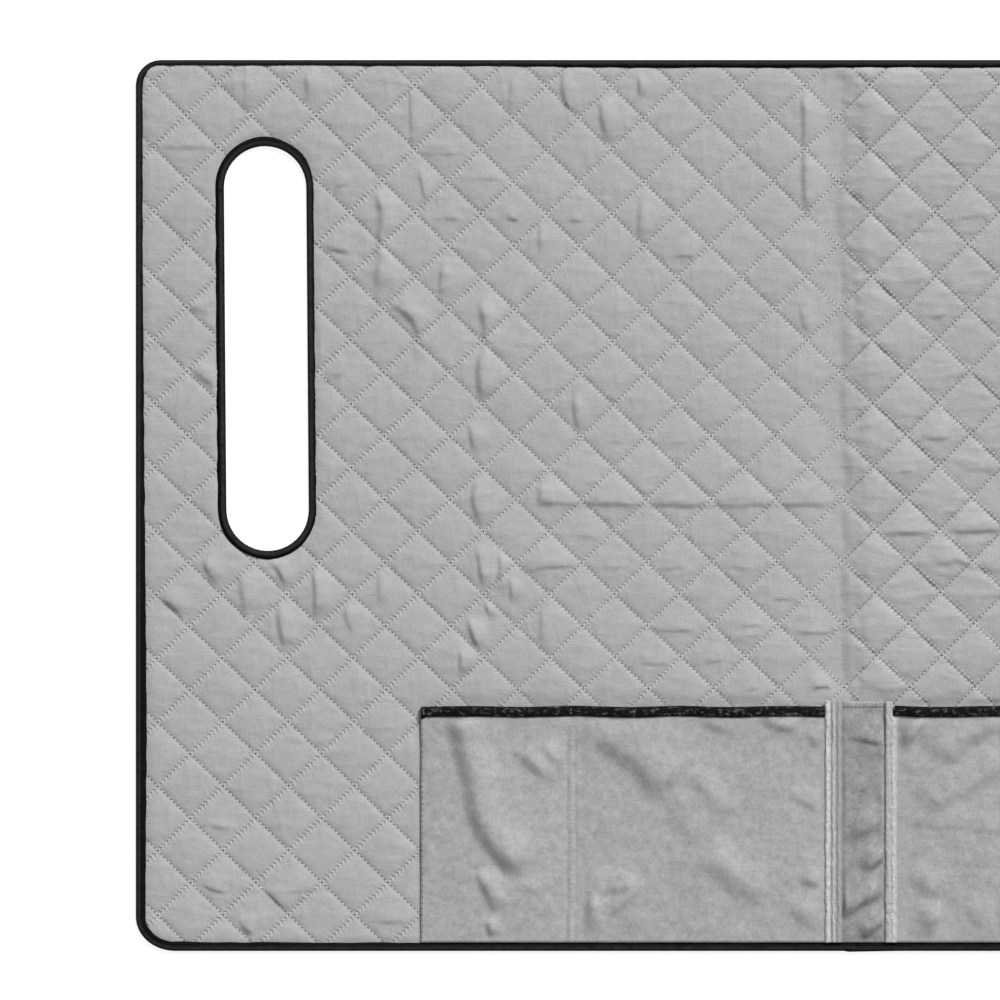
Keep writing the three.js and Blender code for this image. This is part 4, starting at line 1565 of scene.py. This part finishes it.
    def _fill(self, x: Array, y: Array, points: Array, loose: Array, grid_count: int, border: Array,
              rims: list[Array], kept: Array, grid: Array) -> Array:
        """Triangles between the kept squares, the creases and the cut edges.

        Args:
            x, y: All places in plan.
            points: All points' numbers.
            loose: Which of the grid's points are in no kept square.
            grid_count: How many of the points are the grid's.
            border: Edges of the kept squares.
            rims: Points of the cut edges.
            kept: Which squares are kept.
            grid: The grid's line numbers.

        Returns:
            The triangles, counter-clockwise from above.
        """
        first = points[0]
        wanted = np.ones(len(points), bool)
        wanted[:grid_count] = loose
        wanted[border.ravel() - first] = True
        chosen = np.flatnonzero(wanted)
        local = np.full(len(points), -1)
        local[chosen] = np.arange(len(chosen))
        edges = [border, *(np.stack([rim, np.roll(rim, -1)], axis=-1) for rim in rims)]
        lines = local[np.vstack(edges) - first].tolist()
        plan = np.column_stack([x[chosen], y[chosen]]).tolist()
        _, _, faces, origins, _, _ = delaunay_2d_cdt(plan, lines, [], 0, 1e-4)
        source = np.array([origin[0] if origin else -1 for origin in origins])
        triangles = source[np.array([face for face in faces if len(face) == 3])]
        triangles = triangles[(triangles >= 0).all(axis=1)]
        corner = chosen[triangles]
        cx, cy = x[corner].mean(axis=1), y[corner].mean(axis=1)
        on_cloth = self.rim_reach(cx, cy) > self.hem_inset - 0.3
        corner = corner[on_cloth & ~self._in_square(kept, grid, cx, cy)]
        ax, ay = x[corner], y[corner]
        turn = (ax[:, 1] - ax[:, 0]) * (ay[:, 2] - ay[:, 0]) - (ax[:, 2] - ax[:, 0]) * (ay[:, 1] - ay[:, 0])
        corner = corner[np.abs(turn) > 1e-6]
        turn = turn[np.abs(turn) > 1e-6]
        corner[turn < 0] = corner[turn < 0][:, ::-1]
        return points[corner]

    def line_rows(self, rising: bool, per_cell: int, lift: float) -> list[Array]:
        """Stitches along one family of quilting lines, where they show.

        Args:
            rising: Whether these are the rising lines.
            per_cell: Stitches along a diamond's side.
            lift: How far a stitch's middle lies above the cloth.

        Returns:
            One row of stitches for each line, two rows where the machine sewed twice.
        """
        rows = []
        reach = self.quilting.reach
        run = np.arange(-reach * per_cell, reach * per_cell + 1) / per_cell
        for number in range(-reach, reach + 1):
            for offset in (0.0,) if rising else (0.0, self.second_row):
                whole = np.full(run.shape, number + offset)
                x, y = self.quilting.place(*((whole, run) if rising else (run, whole)))
                line = np.column_stack([x, y])
                stitches = row_of_stitches(line, self.top, lift)
                cx, cy = stitches[:, :2].T
                shown = (self.bare_reach(cx, cy) > self.clear_of_tape) & ~self.covered(cx, cy, 3, 1)
                if offset:
                    shown &= cx > self.doubled_from
                if shown.any():
                    rows.append(stitches[shown])
        return rows


# Bindings


@dataclass
class Binding:
    """Black tape folded round a cut edge and sewn through."""

    leg_from: float = 0.9
    leg_top: float = 0.9
    cavity_top: float = 2.7
    height: float = 4.4
    fold: float = 1.0
    crown_from: float = 1.8
    shoulder: Pair = (0.2, 3.1)
    nose: float = 1.6
    lip: float = 0.6
    spacing: float = 5.0
    pucker: float = 0.22
    pucker_length: float = 16.0

    def section(self, width: Array, bulge: Array) -> Array:
        """The tape in section.

        Args:
            width: The tape's width at each station.
            bulge: How far its crown stands above the usual height there.

        Returns:
            Distance from the edge and height, by station and point.
        """
        top = self.height + bulge
        return rounded([
            (self.leg_from, 0), (width, 0), (width, self.leg_top), (self.fold, self.leg_top),
            (self.fold, self.cavity_top), (width, self.cavity_top), (width, self.cavity_top + self.lip),
            (width - 0.9, top - 0.7), (width - self.crown_from - 0.5, top - 0.1), (width / 2, top),
            (self.crown_from, top - 0.25), self.shoulder, (0, self.nose),
        ])

    def skin(self, loop: Array, width: Array, lap: Array, seed: int) -> Skin:
        """Builds a binding.

        Args:
            loop: Places and directions from the edge onto the cloth.
            width: The tape's width at each place.
            lap: Share of the closing lap at each place.
            seed: Picks its puckers.

        Returns:
            The closed ring.
        """
        x, y, nx, ny = loop.T
        steps = np.hypot(*(np.roll(loop, -1, axis=0) - loop)[:, :2].T)
        run = np.concatenate([[0], np.cumsum(steps)[:-1]])
        wave = ripple(x, y, self.pucker_length, seed)
        edge_wave = ripple(x, y, 1.7 * self.pucker_length, seed + 1)
        section = self.section(width + 0.25 * edge_wave, self.pucker * wave + 0.5 * lap)
        outer = smooth(-section[..., 0], -0.6, -0.2)
        inward = section[..., 0] - outer * (0.8 * lap)[:, None]
        place = np.stack([x[:, None] + nx[:, None] * inward, y[:, None] + ny[:, None] * inward,
                          section[..., 1]], axis=-1)
        chart = np.stack([np.broadcast_to(run[:, None], section.shape[:2]), section[..., 0]], axis=-1)
        return sweep(place, True, chart)


# Pockets


@dataclass
class Pocket:
    """One front pocket: flat cloth sewn down at its ends, its bottom and one divider seam."""

    side: str
    outer: float
    divider: float
    seam: float
    trim_end: float
    inner: float
    folds: tuple[Fold, ...]
    mouth: float = -182.6
    mouth_wave: float = 0.5
    mouth_wave_length: float = 95.0
    bottom_y: float = -397.8
    thickness: float = 1.0
    seam_height: float = 3.7
    loft: float = 3.4
    mouth_band: float = 12.0
    mouth_lift: float = 1.1
    lift_reach: float = 24.0
    squareness: float = 3.0
    web: float = 0.8
    gap: float = 0.3
    step: float = 2.2
    slack: float = 0.5
    ridge_height: float = 0.9
    ridge_half: float = 2.4
    groove_depth: float = 0.5
    groove_half: float = 1.3
    groove_at: float = 3.8
    tack_y: Pair = (-184.2, -190.8)
    seam_y: Pair = (-194.5, -396.0)
    end_y: Pair = (-195.0, -396.0)
    foot_y: float = -395.4
    needles_apart: float = 2.2
    end_inset: float = 1.4
    tack_pitch: float = 3.2
    seam_pitch: float = 4.2
    end_pitch: float = 5.3

    def mouth_y(self, x: Array) -> Array:
        """Where the pocket's mouth lies."""
        return self.mouth + self.mouth_wave * np.sin(2 * math.pi * x / self.mouth_wave_length)

    def free(self, x: Array, y: Array) -> Array:
        """Share by which the cloth may stand off the quilting, 0 along every seam.

        Args:
            x, y: Places in plan.

        Returns:
            Shares from 0 to 1.
        """
        ends = sorted((self.outer, self.divider, self.seam))
        start, stop = (np.where(x < ends[1], a, b) for a, b in zip(ends, ends[1:]))
        across = np.clip((x - start) / (stop - start), 0, 1)
        down = np.clip((self.mouth - y) / (self.mouth - self.bottom_y), 0, 1)
        return (1 - np.abs(2 * across - 1) ** self.squareness) * (1 - down**self.squareness)

    def lift(self, y: Array) -> Array:
        """How far the trim's low leg lifts the cloth."""
        lifted = self.mouth - self.mouth_band - 4
        return self.mouth_lift * smooth(y, lifted - self.lift_reach, lifted)

    def seam_relief(self, x: Array, y: Array) -> Array:
        """The stitched-up ridge over the divider, between its two grooves.

        Args:
            x, y: Places in plan.

        Returns:
            Heights in millimetres.
        """
        away = x - self.divider - 0.5 * ripple(y, 0.0, 60.0, 23)
        ridge = self.ridge_height * np.exp(-((away / self.ridge_half) ** 2))
        grooves = np.exp(-(((np.abs(away) - self.groove_at) / self.groove_half) ** 2))
        puckers = 0.75 + 0.25 * ripple(y, 0.0, 9.0, 24)
        return (ridge - self.groove_depth * grooves) * puckers * smooth(-y, 190, 212)

    def underside(self, x: Array, y: Array) -> Array:
        """Height of the cloth's underside.

        Args:
            x, y: Places in plan.

        Returns:
            Heights in millimetres.
        """
        held = np.minimum(y, self.mouth - self.mouth_band)
        free = self.free(x, held)
        fold = sum(one.height(x, held) for one in self.folds)
        slack = ripple(x, 0.8 * held, 70.0, 21) + 0.4 * ripple(x, held, 24.0, 22)
        slack += 0.14 * ripple(x, held, 11.0, 25)
        pinched = np.minimum(1, 6 * free)
        rise = self.seam_height + self.lift(held) + free * self.loft + pinched * (fold + self.slack * slack)
        return np.maximum(rise, self.seam_height) + 0.3 + self.seam_relief(x, held)

    def top(self, x: Array, y: Array) -> Array:
        """Height of the cloth's face."""
        return self.underside(x, y) + self.thickness

    def skin(self) -> Skin:
        """Builds the pocket's cloth.

        Returns:
            The closed skin.
        """
        low, high = sorted((self.outer, self.inner))
        columns = np.linspace(low, high, round((high - low) / self.step) + 1)
        near_divider = self.divider + np.linspace(-7, 7, 15)
        columns = columns[np.abs(columns - self.divider) > 8.5]
        columns = np.sort(np.concatenate([columns, near_divider]))
        rows = round((self.mouth - self.bottom_y) / self.step)
        share = np.linspace(0, 1, rows + 1)
        x = np.repeat(columns[:, None], rows + 1, axis=1)
        y = mix(self.bottom_y, self.mouth_y(columns)[:, None] - self.web - self.gap, share[None, :])
        under = self.underside(x, y)
        return closed_sheet(x, y, under, under + self.thickness)


@dataclass
class PocketTrim:
    """Black tape folded over a pocket's mouth."""

    pocket: Pocket
    width: float = 9.6
    leg: float = 0.8
    crown: float = 1.1
    corner: float = 0.7
    step: float = 2.5
    pucker: float = 0.25
    end_flare: float = 1.4

    def face(self, x: Array, y: Array) -> Array:
        """Height of the tape's face along its middle."""
        under = self.pocket.underside(x, self.pocket.mouth_y(x) - self.pocket.mouth_band)
        return under + self.pocket.thickness + self.pocket.gap + self.crown + 0.5

    def skin(self, seed: int) -> Skin:
        """Builds the trim.

        Args:
            seed: Picks its puckers.

        Returns:
            The closed skin.
        """
        pocket = self.pocket
        low, high = sorted((pocket.outer, pocket.trim_end))
        x = np.linspace(low, high, round((high - low) / self.step) + 1)
        gap = pocket.gap
        low_top = -gap
        high_bottom = pocket.thickness + gap
        top = high_bottom + self.crown
        mouth = pocket.mouth_y(x)
        under = pocket.underside(x, mouth - pocket.mouth_band)
        bulge = self.pucker * ripple(x, 0.0, 15.0, seed) + 0.1 * ripple(x, 0.0, 6.0, seed + 1)
        front = -self.width + 0.12 * ripple(x, 0.0, 34.0, seed + 2)
        end = 1 - smooth(np.abs(x - pocket.outer), 1.0, 5.0)
        front = front - self.end_flare * end
        section = rounded([
            (front, low_top - self.leg), (-self.corner, low_top - self.leg), (0, low_top),
            (0, top - self.corner + 0.5 * bulge), (-2 * self.corner, top + 0.7 * bulge),
            (-self.width / 2, top + 0.35 + bulge), (front + self.corner, top + 0.6 * bulge),
            (front, top - self.corner), (front, high_bottom), (-pocket.web, high_bottom),
            (-pocket.web, low_top), (front, low_top),
        ])
        place = np.stack([np.broadcast_to(x[:, None], section.shape[:2]), mouth[:, None] + section[..., 0],
                          under[:, None] + section[..., 1]], axis=-1)
        chart = np.stack([place[..., 0], -section[..., 0]], axis=-1)
        return sweep(place, False, chart)


# Centre strip and its tapes


STRIP_FOLDS = fold_table(
    (((-11, -212), (6, -215), (24, -219)), 3.0, 6, 12),
    (((-8, -306), (6, -298), (24, -285)), 3.8, 11, 12),
    (((6, -336), (15, -326), (26, -318)), 4.9, 7, 9),
    (((-15, -377), (-2, -365), (11, -358), (26, -349)), 5.4, 9, 14),
    (((4, -396), (15, -384), (27, -375)), 6.4, 8, 10),
    (((20, -252), (17, -268)), 1.6, 5, 6),
    (((-9, -255), (2, -264)), 1.3, 8, 10),
)


@dataclass
class CentreStrip:
    """The plain strip between the pockets, hemmed at its top."""

    left: float = -24.2
    right: float = 23.6
    free_left: float = -16.2
    free_right: float = 21.7
    top_y: float = -178.0
    bottom_y: float = -397.8
    hem_high: float = -179.0
    hem_low: float = -184.2
    hem_rise: float = 0.7
    seam_height: float = 3.7
    thickness: float = 1.0
    slack: float = 1.0
    step: float = 1.5

    def underside(self, x: Array, y: Array) -> Array:
        """Height of the strip's underside.

        Args:
            x, y: Places in plan.

        Returns:
            Heights in millimetres.
        """
        inside = smooth(x, self.free_left, self.free_left + 2)
        inside = inside * smooth(-x, -self.free_right, 1.8 - self.free_right)
        away = smooth(y, self.bottom_y, self.bottom_y + 8) * smooth(-y, 188, 198)
        folds = sum(fold.height(x, y) for fold in STRIP_FOLDS)
        wavy = 0.25 * ripple(x, y, 22.0, 31) + self.slack
        return self.seam_height + inside * away * (wavy + folds)

    def top(self, x: Array, y: Array) -> Array:
        """Height of the strip's face.

        Args:
            x, y: Places in plan.

        Returns:
            Heights in millimetres.
        """
        in_y = smooth(y, self.hem_low - 0.4, self.hem_low + 0.6)
        in_y = in_y * smooth(-y, -self.hem_high - 0.4, 0.6 - self.hem_high)
        in_x = smooth(x, self.free_left, self.free_left + 0.5)
        in_x = in_x * smooth(-x, -self.free_right, 0.5 - self.free_right)
        return self.underside(x, y) + self.thickness + self.hem_rise * in_x * in_y

    def skin(self) -> Skin:
        """Builds the strip.

        Returns:
            The closed skin.
        """
        columns = np.linspace(self.left, self.right, round((self.right - self.left) / self.step) + 1)
        hem = self.hem_high + np.array([0.5, 0.0, -0.5, -2.6, -4.6, -5.2, -5.7])
        below = self.hem_low - 1.5
        rows = np.linspace(self.bottom_y, below, round((below - self.bottom_y) / self.step))
        rows = np.sort(np.concatenate([rows, hem, [self.top_y]]))
        x, y = np.meshgrid(columns, rows, indexing="ij")
        return closed_sheet(x, y, self.underside(x, y), self.top(x, y))


@dataclass
class StripTape:
    """A grey tape sewn over the joint between the strip and a pocket."""

    low: float
    high: float
    narrowed_high: float
    top_y: float
    ridges: tuple[Triple, ...]
    bottom_y: float = -397.8
    notch_y: float = -193.4
    base: float = 5.0
    thickness: float = 1.0
    mouth: float = -182.6
    step: float = 1.4
    wobble: float = 0.45
    lumps: float = 0.16

    def span(self, y: Array) -> tuple[Array, Array]:
        """The tape's left and right edges.

        Args:
            y: Places along Y.

        Returns:
            Places along X.
        """
        narrowed = smooth(y, self.notch_y - 0.8, self.notch_y + 0.4)
        ragged = 0.25 * ripple(y, 0.0, 21.0, 41) + 0.12 * ripple(y, 0.0, 6.0, 42)
        return self.low + ragged, mix(self.high, self.narrowed_high, narrowed) - 0.6 * ragged

    def underside(self, y: Array) -> Array:
        """Height of the tape's underside."""
        lifted = self.mouth - 16
        return self.base + 1.1 * smooth(y, lifted - 24, lifted)

    def top(self, x: Array, y: Array) -> Array:
        """Height of the tape's face.

        Args:
            x, y: Places in plan.

        Returns:
            Heights in millimetres.
        """
        left, right = self.span(y)
        face = self.underside(y) + self.thickness
        for at, half, rise in self.ridges:
            middle = at + self.wobble * ripple(y, 0.0, 11.0, 46)
            wear_and_highlight = 1 + 0.5 * ripple(y, 0.0, 7.0, 47)
            face = face + rise * wear_and_highlight * np.exp(-((np.abs(x - middle) / half) ** 4))
        edge = np.minimum(x - left, right - x)
        rounding = 0.5 * (1 - smooth(edge, 0.0, 1.0))
        return face - rounding + self.lumps * ripple(x, 0.6 * y, 3.6, 43)

    def skin(self) -> Skin:
        """Builds the tape.

        Returns:
            The closed skin.
        """
        rows = np.linspace(self.bottom_y, self.top_y, round((self.top_y - self.bottom_y) / self.step) + 1)
        share = np.linspace(0, 1, 25)
        left, right = self.span(rows)
        x = mix(left[None, :], right[None, :], share[:, None])
        y = np.repeat(rows[None, :], len(share), axis=0)
        return closed_sheet(x, y, self.underside(y), self.top(x, y))


# Putting the cover together


class Material(Enum):
    """The record's material slots."""

    QUILT = "quilted_cloth"
    POCKET = "pocket_cloth"
    TAPE = "grey_tape"
    BINDING = "black_binding"
    TRIM = "black_trim"


def fit(piece: Piece, slot: Material, *nodes: str) -> Piece:
    """Makes a piece part of the cover.

    Args:
        piece: The piece.
        slot: The record's slot of its finish; not used.
        nodes: The CAD nodes that it stands for.

    Returns:
        The piece.
    """
    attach(piece, BODY)
    if nodes:
        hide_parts(*nodes)
    faces = sum(len(polygon.vertices) - 2 for polygon in piece.data.polygons)
    LOG.info("%s: %d triangles", piece.name, faces)
    return piece


LEFT_FOLDS = fold_table(
    (((-373, -190), (-366, -223), (-358, -252), (-355, -273), (-348, -294), (-337, -312),
      (-324, -326), (-314, -338)), 6.7, 16, 20),
    (((-350, -334), (-342, -351), (-332, -371)), 4.2, 9, 12),
    (((-317, -220), (-301, -237), (-280, -255)), 3.3, 11, 14),
    (((-292, -218), (-275, -239)), 2.9, 7, 10),
    (((-309, -345), (-292, -355)), 1.3, 5, 8),
    (((-341, -376), (-337, -394)), 4.0, 5, 7),
    (((-243, -207), (-228, -224), (-205, -240), (-184, -268)), 5.4, 20, 30),
    (((-187, -264), (-169, -287), (-149, -312)), 2.0, 20, 26),
    (((-161, -247), (-146, -259), (-124, -287)), 2.2, 15, 10),
    (((-149, -321), (-123, -341), (-94, -364)), 3.5, 20, 14),
    (((-252, -353), (-226, -352), (-199, -343)), 2.8, 10, 16),
    (((-228, -376), (-211, -360), (-196, -345)), 3.2, 7, 10),
    (((-64, -265), (-52, -272), (-36, -280)), 1.6, 6, 12),
    (((-149, -195), (-132, -203), (-114, -210)), 2.2, 9, 14),
    (((-94, -194), (-75, -203), (-58, -205)), 3.5, 9, 14),
    (((-51, -205), (-41, -221)), 1.9, 7, 10),
    (((-57, -341), (-33, -349)), 2.9, 8, 10),
    (((-246, -349), (-249, -371), (-252, -394)), 5.6, 8, 10),
    (((-64, -364), (-49, -382), (-33, -396)), 4.4, 14, 14),
)
RIGHT_FOLDS = fold_table(
    (((41, -223), (51, -207), (62, -191)), 5.4, 8, 10),
    (((78, -239), (100, -218), (132, -197)), 4.1, 14, 18),
    (((59, -279), (91, -264), (114, -250), (137, -237)), 2.9, 16, 22),
    (((37, -291), (87, -294), (141, -298), (230, -296)), 1.3, 7, 30),
    (((64, -398), (69, -380), (77, -361)), 5.6, 10, 12),
    (((41, -338), (57, -349), (73, -364)), 3.1, 14, 16),
    (((89, -364), (114, -385)), 1.9, 12, 14),
    (((160, -330), (186, -300), (212, -262)), 2.9, 15, 22),
    (((322, -320), (345, -285), (364, -240)), 3.5, 12, 18),
)


class SeatCover:
    """The whole cover."""

    def __init__(self, cloths: Cloths) -> None:
        """Sets out the sub-assemblies.

        Args:
            cloths: The finishes.
        """
        self.cloths = cloths
        self.sewer = StitchSewer()
        self.outline = Outline()
        self.slots = (Slot(-1), Slot(1))
        self.panel = QuiltedPanel(self.outline, self.slots, Quilting())
        self.pockets = (
            Pocket("left", -400.2, -263.5, -32.8, -32.8, -26.2, LEFT_FOLDS),
            Pocket("right", 396.8, 260.1, 33.8, 29.3, 25.4, RIGHT_FOLDS),
        )
        self.strip = CentreStrip()
        self.tapes = {
            "left": StripTape(-32.3, -16.4, -16.4, -177.0, ((-30.2, 1.9, 0.4), (-24.6, 1.7, 0.3))),
            "right": StripTape(22.2, 33.4, 28.9, -178.5, ((25.0, 2.0, 0.35), (30.4, 2.0, 0.35))),
        }

    def build(self) -> None:
        """Builds, dresses and fits every piece."""
        quilt = self.quilted_cloth()
        bindings = self.bindings()
        quilt_stitches = self.quilt_stitches()
        self.declare_quilt()
        for pocket in self.pockets:
            self.pocket(pocket)
        self.centre()

    def quilted_cloth(self) -> Piece:
        """Builds the quilted cloth."""
        cloth = self.panel.skin().build("quilted_cloth", self.cloths.quilt)
        return fit(cloth, Material.QUILT, "quilted_panel")

    def declare_quilt(self) -> None:
        width, depth = self.outline.width, self.outline.depth
        slot = self.slots[0]
        opening = (slot.length - slot.width) * slot.width + math.pi * (slot.width / 2) ** 2
        area = (width * depth - 2 * opening) * MM * MM
        width * MM
        depth * MM

    def bindings(self) -> list[Piece]:
        """Builds the edge binding and the two slot bindings.

        Returns:
            The three rings.
        """
        tape = Binding()
        loop = self.outline.loop(0.0, tape.spacing)
        x, y = loop[:, :2].T
        front = y < -self.outline.depth / 2 + 0.5
        lap = np.where(front & (x >= -13), np.clip((34 - x) / 46, 0, 1), 0) * smooth(x, -13.0, -11.5)
        width = self.outline.tape_width(x, y)
        edge = tape.skin(loop, width, lap, 51).build("binding_edge", self.cloths.binding)
        made = [fit(edge, Material.BINDING, "edge_binding")]
        for slot, side in zip(self.slots, ("left", "right")):
            ring = slot.loop(0.0, tape.spacing)
            width = slot.tape_width(ring[:, 2], ring[:, 3])
            skin = tape.skin(ring, width, width * 0, 55)
            piece = skin.build(f"binding_slot_{side}", self.cloths.binding)
            made.append(fit(piece, Material.BINDING, f"slot_binding_{side}"))
        return made

    def quilt_stitches(self) -> list[Piece]:
        """Sews the quilting lines.

        Returns:
            One piece for each family of lines.
        """
        size = StitchSize(length=2.8, width=1.05, height=0.6)
        made = []
        for rising, word in ((True, "rising"), (False, "falling")):
            rows = self.panel.line_rows(rising, 10, 0.12)
            piece = self.sewer.sew(f"stitches_{word}", rows, size, self.cloths.grey_thread, 5)
            made.append(fit(piece, Material.QUILT))
        return made

    def pocket(self, pocket: Pocket) -> None:
        """Builds one pocket with its trim and stitches.

        Args:
            pocket: Its shape.
        """
        side = pocket.side
        cloth = pocket.skin().build(f"cloth_pocket_{side}", self.cloths.pocket)
        fit(cloth, Material.POCKET, f"pocket_{side}")
        tape = PocketTrim(pocket)
        trim = tape.skin(61).build(f"trim_pocket_{side}", self.cloths.trim)
        fit(trim, Material.TRIM, f"pocket_trim_{side}")
        tacked = [[(at, y) for y in pocket.tack_y] for at in (pocket.divider, pocket.outer * 0.993)]
        tack_rows = [row_of_stitches(spaced(np.array(line), pocket.tack_pitch), tape.face, 0.0)
                     for line in tacked]
        tack_size = StitchSize(length=2.4, width=0.8, height=0.5)
        tacks = self.sewer.sew(f"stitches_tack_{side}", tack_rows, tack_size, self.cloths.tack_thread, 6)
        fit(tacks, Material.TRIM)
        size = StitchSize(length=2.6, width=0.7, height=0.5)
        aside = pocket.needles_apart / 2
        seams = [[(at, y) for y in pocket.seam_y] for at in (pocket.divider - aside, pocket.divider + aside)]
        seams.append([(pocket.outer * 0.99, pocket.foot_y), (pocket.seam * 1.05, pocket.foot_y)])
        lines = [spaced(np.array(seam), pocket.seam_pitch) for seam in seams]
        rows = [row_of_stitches(line, pocket.top, 0.1) for line in lines]
        cloth_stitches = self.sewer.sew(f"stitches_pocket_{side}", rows, size, self.cloths.cloth_thread, 7)
        end = math.copysign(abs(pocket.outer) - pocket.end_inset, pocket.outer)
        end_line = spaced(np.array([(end, y) for y in pocket.end_y]), pocket.end_pitch)
        end_row = [row_of_stitches(end_line, pocket.top, 0.0)]
        end_size = StitchSize(length=2.4, width=1.1, height=0.5)
        end_stitches = self.sewer.sew(f"stitches_end_{side}", end_row, end_size, self.cloths.dark_thread, 8)
        for piece in (cloth_stitches, end_stitches):
            fit(piece, Material.POCKET)
        width = abs(pocket.outer - pocket.inner)
        depth = pocket.mouth - pocket.bottom_y
        width * MM
        depth * MM

    def centre(self) -> None:
        """Builds the centre strip and its tapes."""
        cloth = self.strip.skin().build("cloth_strip", self.cloths.strip)
        strip = fit(cloth, Material.POCKET, "centre_strip")
        finishes = {"left": self.cloths.left_tape, "right": self.cloths.right_tape}
        for side, tape in self.tapes.items():
            piece = tape.skin().build(f"tape_strip_{side}", finishes[side])
            fit(piece, Material.TAPE, f"strip_tape_{side}")
        self.ragged_edges()
        rows = []
        for at in (self.strip.hem_high - 0.1, self.strip.hem_low - 1.0):
            line = spaced(np.array([(-15.5, at), (21.0, at)]), 3.6)
            rows.append(row_of_stitches(line, self.strip.top, 0.1))
        size = StitchSize(length=2.4, width=0.7, height=0.45)
        hem = self.sewer.sew("stitches_hem", rows, size, self.cloths.grey_thread, 9)
        fit(hem, Material.POCKET)
        depth = self.strip.top_y - self.strip.bottom_y
        depth * MM

    def ragged_edges(self) -> Piece:
        """Sews the uneven overlock stitches along both tapes.

        Returns:
            The stitches of both tapes.
        """
        size = StitchSize(length=2.5, width=0.9, height=0.6, turn=1.2)
        rows = []
        for side, places in (("left", (-30.3, -29.2, -24.5)), ("right", (29.6, 30.4))):
            for at in places:
                y = np.arange(-396.0, -180.0, 2.1)
                x = at + 0.35 * ripple(y, 0.0, 13.0, 44) + 0.3 * ripple(y, 0.0, 5.0, 45)
                rows.append(row_of_stitches(np.column_stack([x, y]), self.tapes[side].top, 0.05))
        stitches = self.sewer.sew("stitches_tapes", rows, size, self.cloths.grey_thread, 12)
        return fit(stitches, Material.TAPE)


# Studio


@dataclass(frozen=True)
class Studio:
    """Pale floor, soft light from behind the cover, and the camera straight above."""

    view_x: float = -328.1
    view_y: float = 5.0
    view_side: float = 911.7
    lens: float = 135.0
    sensor: float = 36.0
    key_from_back: float = 27.0
    key_elevation: float = 35.0
    key_strength: float = 3.55
    key_softness: float = 14.0
    sky: float = 0.34

    def floor(self) -> None:
        """Lays the floor."""
        shader = Shader("floor_finish")
        grain = shader.noise(shader.place(), 3.0, 2.0)
        finish = shader.finished((0.3, 0.3, 0.3), 1.0 + 0.01 * grain, Roughness=0.9,
                                 Specular_IOR_Level=0.0, Emission_Color=(1, 1, 1, 1),
                                 Emission_Strength=0.85)
        mesh = bpy.data.meshes.new("floor")
        side, low = 12.0, -0.0002
        corners = [(-side, -side, low), (side, -side, low), (side, side, low), (-side, side, low)]
        mesh.from_pydata(corners, [], [(0, 1, 2, 3)])
        mesh.materials.append(finish)
        placed("floor", mesh)

    def light(self) -> None:
        """Sets a wide soft light from behind and to the right, and an even sky."""
        light = bpy.data.lights.new("key", "SUN")
        light.energy = self.key_strength
        light.angle = math.radians(self.key_softness)
        lamp = placed("key", light)
        turn, tilt = math.radians(self.key_from_back), math.radians(90 - self.key_elevation)
        lamp.rotation_euler = (-tilt, 0.0, -turn)
        lamp.location = (0.0, 0.0, 3.0)
        world = bpy.data.worlds.new("studio")
        world.use_nodes = True
        sky = world.node_tree.nodes["Background"]
        sky.inputs[0].default_value = (1, 1, 1, 1)
        sky.inputs[1].default_value = self.sky
        bpy.context.scene.world = world
        bpy.context.scene.view_settings.view_transform = "Standard"

    def camera(self) -> None:
        """Places the camera straight above the part of the cover that the photograph shows."""
        lens = bpy.data.cameras.new("camera")
        lens.lens = self.lens
        lens.sensor_width = self.sensor
        lens.clip_end = 50
        camera = placed("camera", lens)
        distance = self.view_side / 2 * MM / (self.sensor / 2 / self.lens)
        camera.location = (self.view_x * MM, self.view_y * MM, distance)
        bpy.context.scene.camera = camera


def main() -> None:
    """Builds the cover and its studio."""
    logging.basicConfig(level=logging.INFO, format="%(name)s: %(message)s")
    studio = Studio()
    studio.camera()
    studio.floor()
    studio.light()
    SeatCover(Cloths()).build()


if __name__ == "__main__":
    main()
